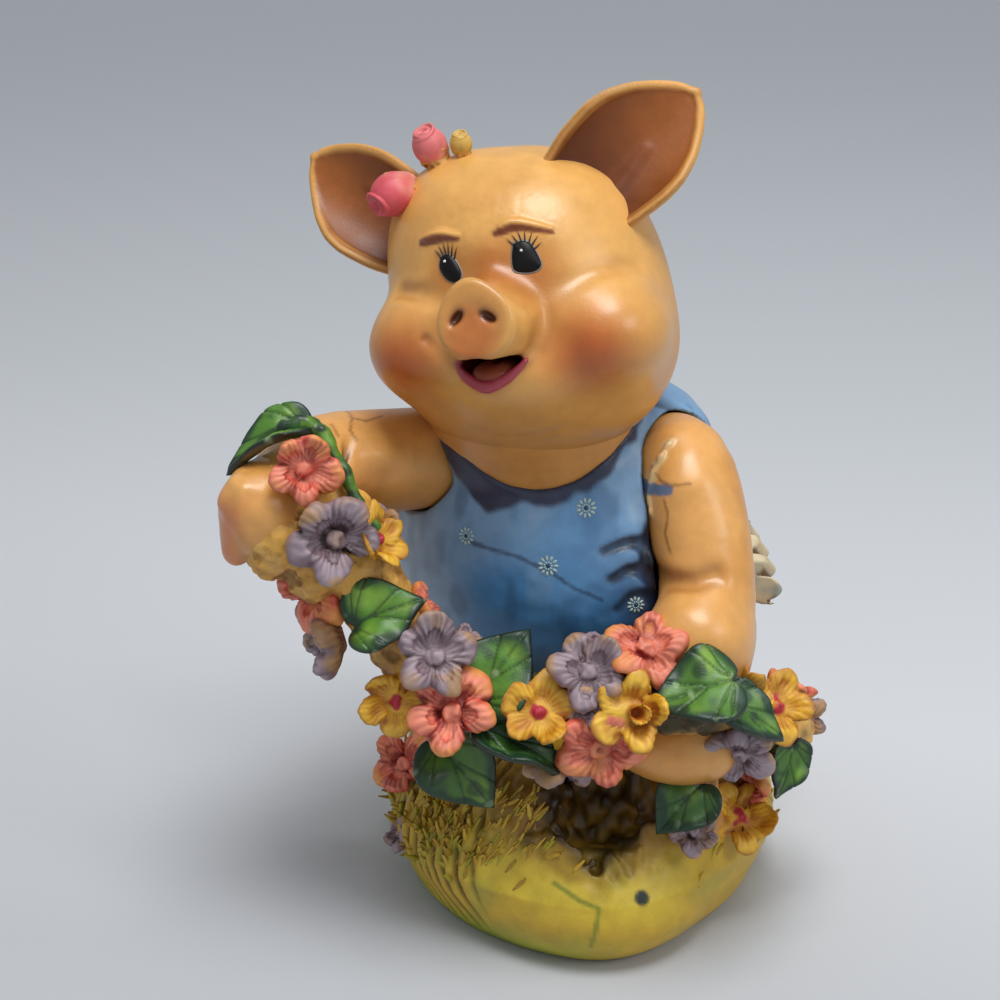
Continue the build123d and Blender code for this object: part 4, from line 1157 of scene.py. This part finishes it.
# Blooms: each is a ball of coloured resin ringed by five petals, pinched on one by one with a needle.
# Pink and lilac petals are puffed and wrinkled. Yellow ones are thin, with a rosy middle.
def carrier(place):
    """the point inside the rope or the mound that a piece is pressed on"""
    away = np.linalg.norm(rope_route - place, axis=1)
    if away.min() < 15:
        return rope_route[away.argmin()]
    return np.array([0, 0, 12.0])


def seat(name, pixel, facing, reach):
    """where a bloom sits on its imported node: its foot and its axes, with z out of the face"""
    corners = node_points(name)
    middle = (corners.max(0) + corners.min(0)) / 2
    out = np.linalg.svd(corners - corners.mean(0), full_matrices=False)[2][2]
    out = out * np.sign(out @ (middle - carrier(middle)))
    out = (1 - facing) * out + facing * (back + 0.25 * up)
    out /= np.linalg.norm(out)
    side = np.cross(up, out)
    side /= np.linalg.norm(side)
    return seen_at(pixel, middle) - 0.36 * reach * out, np.stack([side, np.cross(out, side), out], -1)


def petals(kind, seed):
    """a field for one bloom of radius 1: five petals round a ball, and how deep its pleats are"""
    draw = np.random.default_rng(seed)
    thin = kind in ("yellow", "trumpet")
    puff = 0.11 if thin else 0.26
    sizes, leans, turns = draw.uniform(0.8, 1.12, 5), draw.uniform(0, 52, 5), draw.uniform(-0.24, 0.24, 5)
    tapers, curls = draw.uniform(-0.2, 0.4, 5), draw.uniform(-0.9, 0.8, 5)
    start = draw.uniform(0, 1.2)

    def wrinkle(u):
        turn = np.arctan2(u[:, 1], u[:, 0])
        spread = np.hypot(u[:, 0], u[:, 1])
        pleats = np.cos(turn * 27 + 3.6 * lumps(u, 0.34, seed))
        return pleats * step(spread, 0.16, 0.4) * (1 - 0.8 * step(spread, 0.72, 1.0))

    def form(u):
        total = egg(u, (0, 0, 0.16), (0.42, 0.42, 0.24))
        for k in range(5):
            angle = 2 * np.pi * k / 5 + turns[k] + start
            axes = turned(z=np.degrees(angle)) @ turned(y=-leans[k])
            middle = (0.55 * np.cos(angle), 0.55 * np.sin(angle), 0.20 + 0.5 * np.sin(np.radians(leans[k])))
            q = (u - np.array(middle, np.float32)) @ axes
            q[:, 2] -= curls[k] * q[:, 0] ** 2
            q[:, 1] *= 1 + tapers[k] * q[:, 0] / 0.47
            petal = egg(q, (0, 0, 0), (0.50 * sizes[k], 0.44 * sizes[k], puff))
            petal = scoop(petal, egg(q, (-0.12, 0, puff * 1.2), (0.34, 0.2, puff * 0.7)), 0.06)
            total = melt(total, petal, 0.03)
        if kind == "trumpet":
            total = melt(total, strand(u, [(0, 0, 0.2), (0.16, -0.05, 0.72)], [0.15, 0.25]), 0.06)
            total = scoop(total, strand(u, [(0.08, -0.02, 0.5), (0.2, -0.06, 1.0)], [0.11, 0.24]), 0.03)
        elif thin:
            heart = egg(u, (0, 0, 0.30), (0.15, 0.15, 0.22)) + 0.06 * lumps(u, 0.12, seed)
            total = melt(total, heart, 0.05)
        else:
            heart = egg(u, (0, 0, 0.40), (0.25, 0.25, 0.24)) + 0.06 * lumps(u, 0.15, seed + 1)
            total = melt(total, heart, 0.03)
        return total - (0.010 if thin else 0.016) * wrinkle(u) + 0.05 * lumps(u, 0.3, seed + 5)

    return form, wrinkle


# main colour, painted highlight on the tops, painted shade in the wrinkles, worn edges
bloom_paints = {"pink": ("#D8604A", "#F0967A", "#8A2626", "#E0944A"),
                "lilac": ("#87707A", "#AA99A2", "#4C3634", "#B48C60"),
                "trumpet": ("#DDA31E", "#F2C64A", "#A45A14", "#CC9A38"),
                "yellow": ("#D69A18", "#F0C040", "#A45A14", "#CC9A38")}


def press_bloom(name, kind, foot, axes, reach, seed, replaces=()):
    """one bloom, painted and pressed in place"""
    form, wrinkle = petals(kind, seed)
    points, faces, way = cast(form, (-1.25, -1.25, -0.15), (1.25, 1.25, 1.05), 0.042 * fine)
    main, light, deep, worn = bloom_paints[kind]
    spread = np.hypot(points[:, 0], points[:, 1])
    crease = hollows(form, points, way, 0.16)
    colour = base_coat(points, main)
    # painted highlight on the tops of the petals
    colour = mix(colour, light, 0.75 * step(way[:, 2] + 0.5 * lumps(points, 0.25, seed), 0.3, 0.95))
    colour = mix(colour, worn, 0.85 * step(spread + 0.45 * lumps(points, 0.45, seed + 2), 0.78, 1.1))
    colour = mix(colour, worn, 0.9 * step(-way[:, 2], 0.0, 0.5))
    # painted shade in the wrinkles and the creases
    pleats = step(-wrinkle(points) + 0.4 * lumps(points, 0.3, seed + 3), 0.1, 1.0)
    colour = mix(colour, deep, 0.28 * pleats * (1 - 0.6 * step(spread, 0.4, 0.9)))
    colour = mix(colour, worn, 0.5 * step(lumps(points, 0.5, seed + 4), 0.25, 0.6))
    colour = mix(colour, deep, np.clip(crease * 1.6, 0, 1) * 0.9)
    if kind == "yellow":
        heart = spread + 0.16 * lumps(points, 0.16, seed)
        colour = mix(colour, "#B4283C", (1 - step(heart, 0.14, 0.26)) * step(points[:, 2], 0.15, 0.35))
    elif kind == "trumpet":
        heart = np.linalg.norm(points - (0.1, -0.03, 0.5), axis=1)
        colour = mix(colour, "#A85A14", 1 - step(heart, 0.16, 0.3))
    piece = set_piece(name, foot + (points * reach) @ axes.T, faces, petal_paint, colour)
    return carried(piece, kind.replace("trumpet", "yellow") + "_paint", *replaces)


# each bloom: its pixel in the photograph, its radius in mm, and how far it turns from its seat to the viewer
bloom_places = {
    "flower_pink_1": ((304, 470), 6.6, 0.3), "flower_lilac_1": ((335, 538), 8.0, 0.4),
    "flower_yellow_1": ((379, 540), 6.4, 0.1), "flower_pink_2": ((314, 588), 7.4, 0.35),
    "flower_lilac_2": ((326, 640), 7.4, 0.35), "flower_lilac_3": ((434, 656), 7.6, 0.5),
    "flower_lilac_4": ((462, 640), 4.2, 0.3), "flower_yellow_2": ((396, 702), 6.8, 0.5),
    "flower_pink_3": ((452, 712), 8.0, 0.7), "flower_yellow_3": ((540, 712), 7.0, 0.6),
    "flower_lilac_5": ((588, 672), 7.2, 0.7), "flower_lilac_6": ((606, 652), 5.2, 0.3),
    "flower_lilac_7": ((584, 708), 3.8, 0.5), "flower_yellow_4": ((632, 712), 7.4, 0.6),
    "flower_pink_4": ((646, 649), 7.5, 0.6), "flower_pink_5": ((600, 747), 8.0, 0.6),
    "flower_yellow_5": ((777, 706), 7.0, 0.6), "flower_lilac_8": ((738, 752), 6.8, 0.5),
    "flower_pink_6": ((752, 786), 5.2, 0.4), "flower_yellow_6": ((740, 817), 7.2, 0.5),
    "flower_lilac_10": ((692, 832), 4.8, 0.4), "flower_lilac_9": ((560, 768), 6.6, 0.2),
    "flower_pink_7": ((404, 764), 7.0, 0.6), "flower_lilac_11": ((402, 834), 4.2, 0.2)}
for number, (name, (pixel, reach, facing)) in enumerate(bloom_places.items()):
    foot, axes = seat(name, pixel, facing, reach)
    kind = "trumpet" if name == "flower_yellow_4" else name.split("_")[1]
    press_bloom(name + "_bloom", kind, foot, axes, reach / 1.03, 100 + number, [name])

# small blooms that fill in the rope's ends and back: place along it, direction, kind and radius in mm
fillers = ((39, (0.35, 0.85, 0.3), "lilac", 5.0), (37, (0.4, 0.6, 0.7), "pink", 4.8),
           (33, (0.7, 0.5, 0.5), "yellow", 4.4), (26, (0.1, 0.6, 0.8), "pink", 4.2),
           (12, (0.9, 0.3, 0.2), "pink", 4.6), (8, (0.7, 0.6, 0.2), "lilac", 4.8),
           (15, (-0.5, 0.7, 0.2), "yellow", 4.4))
for number, (spot, out, kind, reach) in enumerate(fillers):
    out = np.array(out) / np.linalg.norm(out)
    side = np.cross(up, out) / np.linalg.norm(np.cross(up, out))
    press_bloom("filler_bloom_" + str(number + 1), kind, rope_route[spot] + out * (rope_radii[spot] - 0.8),
                np.stack([side, np.cross(out, side), out], -1), reach, 200 + number)

# Leaves: cut from rolled green resin and folded along the midrib, with the veins scored in.
# They are stippled in three greens and blackened at the edges, and painted shade makes the lower ones the
# darkest.
leaf_edge = curve([(0.03, 0.0), (-0.07, 0.12), (-0.03, 0.28), (0.12, 0.40), (0.32, 0.43), (0.58, 0.33),
                   (0.82, 0.15), (1.0, 0.0)], 22)  # half the outline of a leaf of length 1
leaf_edge = np.vstack([leaf_edge, leaf_edge[-2:0:-1] * (1, -1)])


def outline_gap(p, corners):
    """flat distance from a closed outline, below zero inside"""
    nearest, inside = np.full(len(p), 9e9, np.float32), np.zeros(len(p), bool)
    for a, b in zip(corners, np.roll(corners, -1, 0)):
        run = b - a
        t = np.clip(((p - a) @ run) / (run @ run), 0, 1)
        away = p - a - t[:, None] * run
        nearest = np.minimum(nearest, (away * away).sum(-1))
        crosses = (a[1] > p[:, 1]) != (b[1] > p[:, 1])
        inside ^= crosses & (p[:, 0] < (b[0] - a[0]) * (p[:, 1] - a[1]) / (b[1] - a[1] + 1e-9) + a[0])
    return np.where(inside, -1, 1) * np.sqrt(nearest)


def leaf_bend(u, fold, curl, seed):
    """how high the middle of the leaf's thickness lies: folded at the midrib and curled down at the tip"""
    wave = 0.08 * lumps(u * (1, 1, 0), 0.3, seed)
    return fold * np.abs(u[:, 1]) ** 1.2 - curl * (u[:, 0] - 0.3) ** 2 + wave


def veins(u):
    """how near a spot on the leaf is to a scored vein, from 0 to 1"""
    found = np.exp(-(u[:, 1] / 0.018) ** 2)
    for lean in (0.42, 1.0, 2.2):
        start = 0.30 if lean == 0.42 else 0.02
        away = (np.abs(u[:, 1]) - lean * (u[:, 0] - start)) / np.hypot(1, lean)
        found = np.maximum(found, np.exp(-(away / 0.013) ** 2) * step(u[:, 0], start, start + 0.05))
    return found


def press_leaf(name, stem, tip, face, seed, replaces, curl, painted_shade, broad, fold=0.30):
    """one leaf from its stem to its tip in mm, with its upper side to a direction, painted and pressed on"""
    along = tip - stem
    length = np.linalg.norm(along)
    along = along / length
    face = face - along * (face @ along)
    face /= np.linalg.norm(face)
    axes = np.stack([along, np.cross(face, along) * broad, face], -1)

    def form(u):
        w = u[:, 2] - leaf_bend(u, fold, curl, seed)
        rib = veins(u)
        thick = np.abs(w + 0.022 * (1 - rib) * (w < 0)) - 0.045 + 0.022 * rib * (w > 0)
        return -melt(-thick, -outline_gap(u[:, :2], leaf_edge) * 0.9, 0.05)

    points, faces, way = cast(form, (-0.15, -0.5, -0.45), (1.08, 0.5, 0.40), 0.0185 * fine)
    edge = -outline_gap(points[:, :2], leaf_edge)
    top = step(points[:, 2] - leaf_bend(points, fold, curl, seed), -0.02, 0.01)
    colour = base_coat(points, "#55862A")
    colour = mix(colour, "#8CB642", 0.8 * step(lumps(points, 0.26, seed), 0.0, 0.5))
    black_edge = 1 - step(edge + 0.09 * lumps(points, 0.2, seed + 1), 0.0, 0.16)
    # painted shade, most on the lower leaves, over the real blackened edges
    black_edge_and_shade = black_edge + painted_shade * (0.75 + 0.5 * lumps(points, 0.5, seed + 6))
    colour = mix(colour, "#173A22", np.clip(black_edge_and_shade, 0, 1))
    colour = mix(colour, "#15301C", 0.6 * veins(points))
    colour = mix(colour, "#16341E", 0.75 * step(lumps(points, 0.17, seed + 7), 0.15, 0.6))
    colour = mix(colour, "#0F1F16", 0.9 * (1 - step(edge, 0.0, 0.03)))
    colour = mix(colour, "#A9C490", 0.5 * step(lumps(points, 0.13, seed + 2), 0.55, 0.85) * (1 - 0.7 * painted_shade))
    colour = mix(colour, "#5E4A20", 0.8 * (1 - top) * step(lumps(points, 0.4, seed + 3), -0.3, 0.4))
    piece = set_piece(name, stem + (points * length) @ axes.T, faces, leaf_paint, colour)
    return carried(piece, "leaf_paint", *replaces)


# glossy acrylic over black: wet lights that break up on the stippling
leaf_paint = painted_casting("glossy green paint with blackened edges", 0.42, 0.45, 0.08, 0.22, 0.12)
# each leaf: stem and tip pixels in the photograph, how far stem and tip come forward in mm, the way its face
# leans to the right and up, how much painted shade it has, and how broad it is
leaf_places = {
    "leaf_1": ((350, 626), (424, 596), (0.0, 2.0), 0.1, 0.5, 0.2, 1.15),
    "leaf_2": ((474, 700), (529, 626), (4.5, 3.5), 0.0, 0.4, 0.1, 1.1),
    "leaf_3": ((482, 724), (574, 768), (0.0, 0.0), 0.0, 0.9, 0.75, 0.7),
    "leaf_4": ((438, 738), (494, 808), (1.0, 2.0), -0.3, 0.3, 0.6, 1.1),
    "leaf_5": ((736, 682), (648, 702), (0.0, 1.5), -0.1, 0.7, 0.2, 1.15),
    "leaf_6": ((716, 694), (790, 738), (0.0, -1.0), 0.4, 0.8, 0.75, 0.85),
    "leaf_7": ((792, 742), (784, 804), (0.0, -1.0), 0.6, 0.1, 0.3, 0.9),
    "leaf_8": ((752, 742), (812, 728), (0.0, -3.0), 0.3, 0.6, 0.9, 1.0),
    "leaf_mound": ((704, 782), (654, 832), (0.0, 1.0), -0.2, 0.3, 0.9, 1.15),
    "leaf_hand": ((306, 422), (216, 454), (0.0, 0.0), -0.2, 1.5, 0.1, 0.75)}
for number, (name, (stem, tip, (near, far), aside, above, painted_shade, broad)) in enumerate(leaf_places.items()):
    corners = node_points(name)
    middle = (corners.max(0) + corners.min(0)) / 2
    press_leaf(name + "_blade", seen_at(stem, middle) + near * back, seen_at(tip, middle) + far * back,
               back + aside * right + above * up, 300 + number, [name],
               curl=0.5 if name == "leaf_hand" else 0.3, painted_shade=painted_shade, broad=broad)

# Vine: a green strap of resin over the right hand, which runs from the long leaf down the inside of the rope.
# It is rolled thin by hand and takes the leaves' paint.
vine_depth = np.array([-38.0, -33.5, 88.0])
vine_pixels = ((286, 428), (304, 423), (322, 434), (342, 468), (357, 500), (374, 527))
vine_route = curve([seen_at(pixel, vine_depth) for pixel in vine_pixels], 20)


def vine_form(p):
    """the strap, lumpy from the fingers"""
    form = strand(p, vine_route, np.linspace(1.5, 1.0, 20))
    return form + 0.45 * lumps(p, 1.5, 71)


points, faces, way = cast(vine_form, (-52, -40, 68), (-24, -27, 100), 0.3 * fine)
colour = base_coat(points, "#2E5A26")
colour = mix(colour, "#6B9A34", 0.8 * step(lumps(points, 2.0, 72), 0.0, 0.5))
colour = mix(colour, "#12201A", 0.9 * step(lumps(points, 1.7, 73), 0.2, 0.6))
vine = set_piece("vine_strap", points, faces, leaf_paint, colour)
carried(vine, "leaf_paint", "vine")

# Studio: a sweep of pale grey paper under the figure, a soft lamp overhead and a weak one at the right.
# The paper grows lighter towards the back, where less of the light falls.
bpy.context.scene.view_settings.view_transform = "Standard"
# paper: quite matt, so that it shows the shadow and no lights
floor_paint = bpy.data.materials.new("pale matt paper")
floor_paint.use_nodes = True
tree = floor_paint.node_tree
place = add_node(tree, "ShaderNodeTexCoord")
split = add_node(tree, "ShaderNodeSeparateXYZ", {"Vector": (place, "Object")})
away = add_node(tree, "ShaderNodeMapRange", {"Value": (split, "Y"), 1: -0.05, 2: 1.3})
sweep = add_node(tree, "ShaderNodeValToRGB", {"Fac": (away, 0)})
sweep.color_ramp.elements[0].color = (*paint("#BCBFC3"), 1)
sweep.color_ramp.elements[1].color = (*paint("#E0E4E9"), 1)
for spot, tone in ((0.08, "#D1D4D8"), (0.24, "#CDD1D5")):
    sweep.color_ramp.elements.new(spot).color = (*paint(tone), 1)
tree.links.new(sweep.outputs[0], tree.nodes["Principled BSDF"].inputs["Base Color"])
tree.nodes["Principled BSDF"].inputs["Roughness"].default_value = 0.9
floor_reach = 1500  # mm
floor_points = floor_reach * np.array([(-1, -1, 0), (1, -1, 0), (1, 1, 0), (-1, 1, 0)])
floor = set_piece("floor", floor_points, [(0, 1, 2, 3)], floor_paint)

world = bpy.data.worlds.new("studio")
bpy.context.scene.world = world
world.use_nodes = True
around = world.node_tree.nodes["Background"].inputs
around["Color"].default_value = (*paint("#C4C7CC"), 1)
around["Strength"].default_value = 0.68
lit_spot = Vector((-0.01, 0, 0.08))
# each lamp: its place and size in metres, and its power in watts
lamps = (("top_lamp", (0.08, -0.15, 0.77), 0.34, 4.0), ("right_lamp", (0.65, -0.30, 0.55), 0.3, 1.3))
for name, spot, size, power in lamps:
    lamp = bpy.data.lights.new(name, "AREA")
    lamp.size = size
    lamp.energy = power
    holder = bpy.data.objects.new(name, lamp)
    bpy.context.scene.collection.objects.link(holder)
    holder.location = spot
    holder.rotation_euler = (lit_spot - Vector(spot)).to_track_quat("-Z", "Y").to_euler()
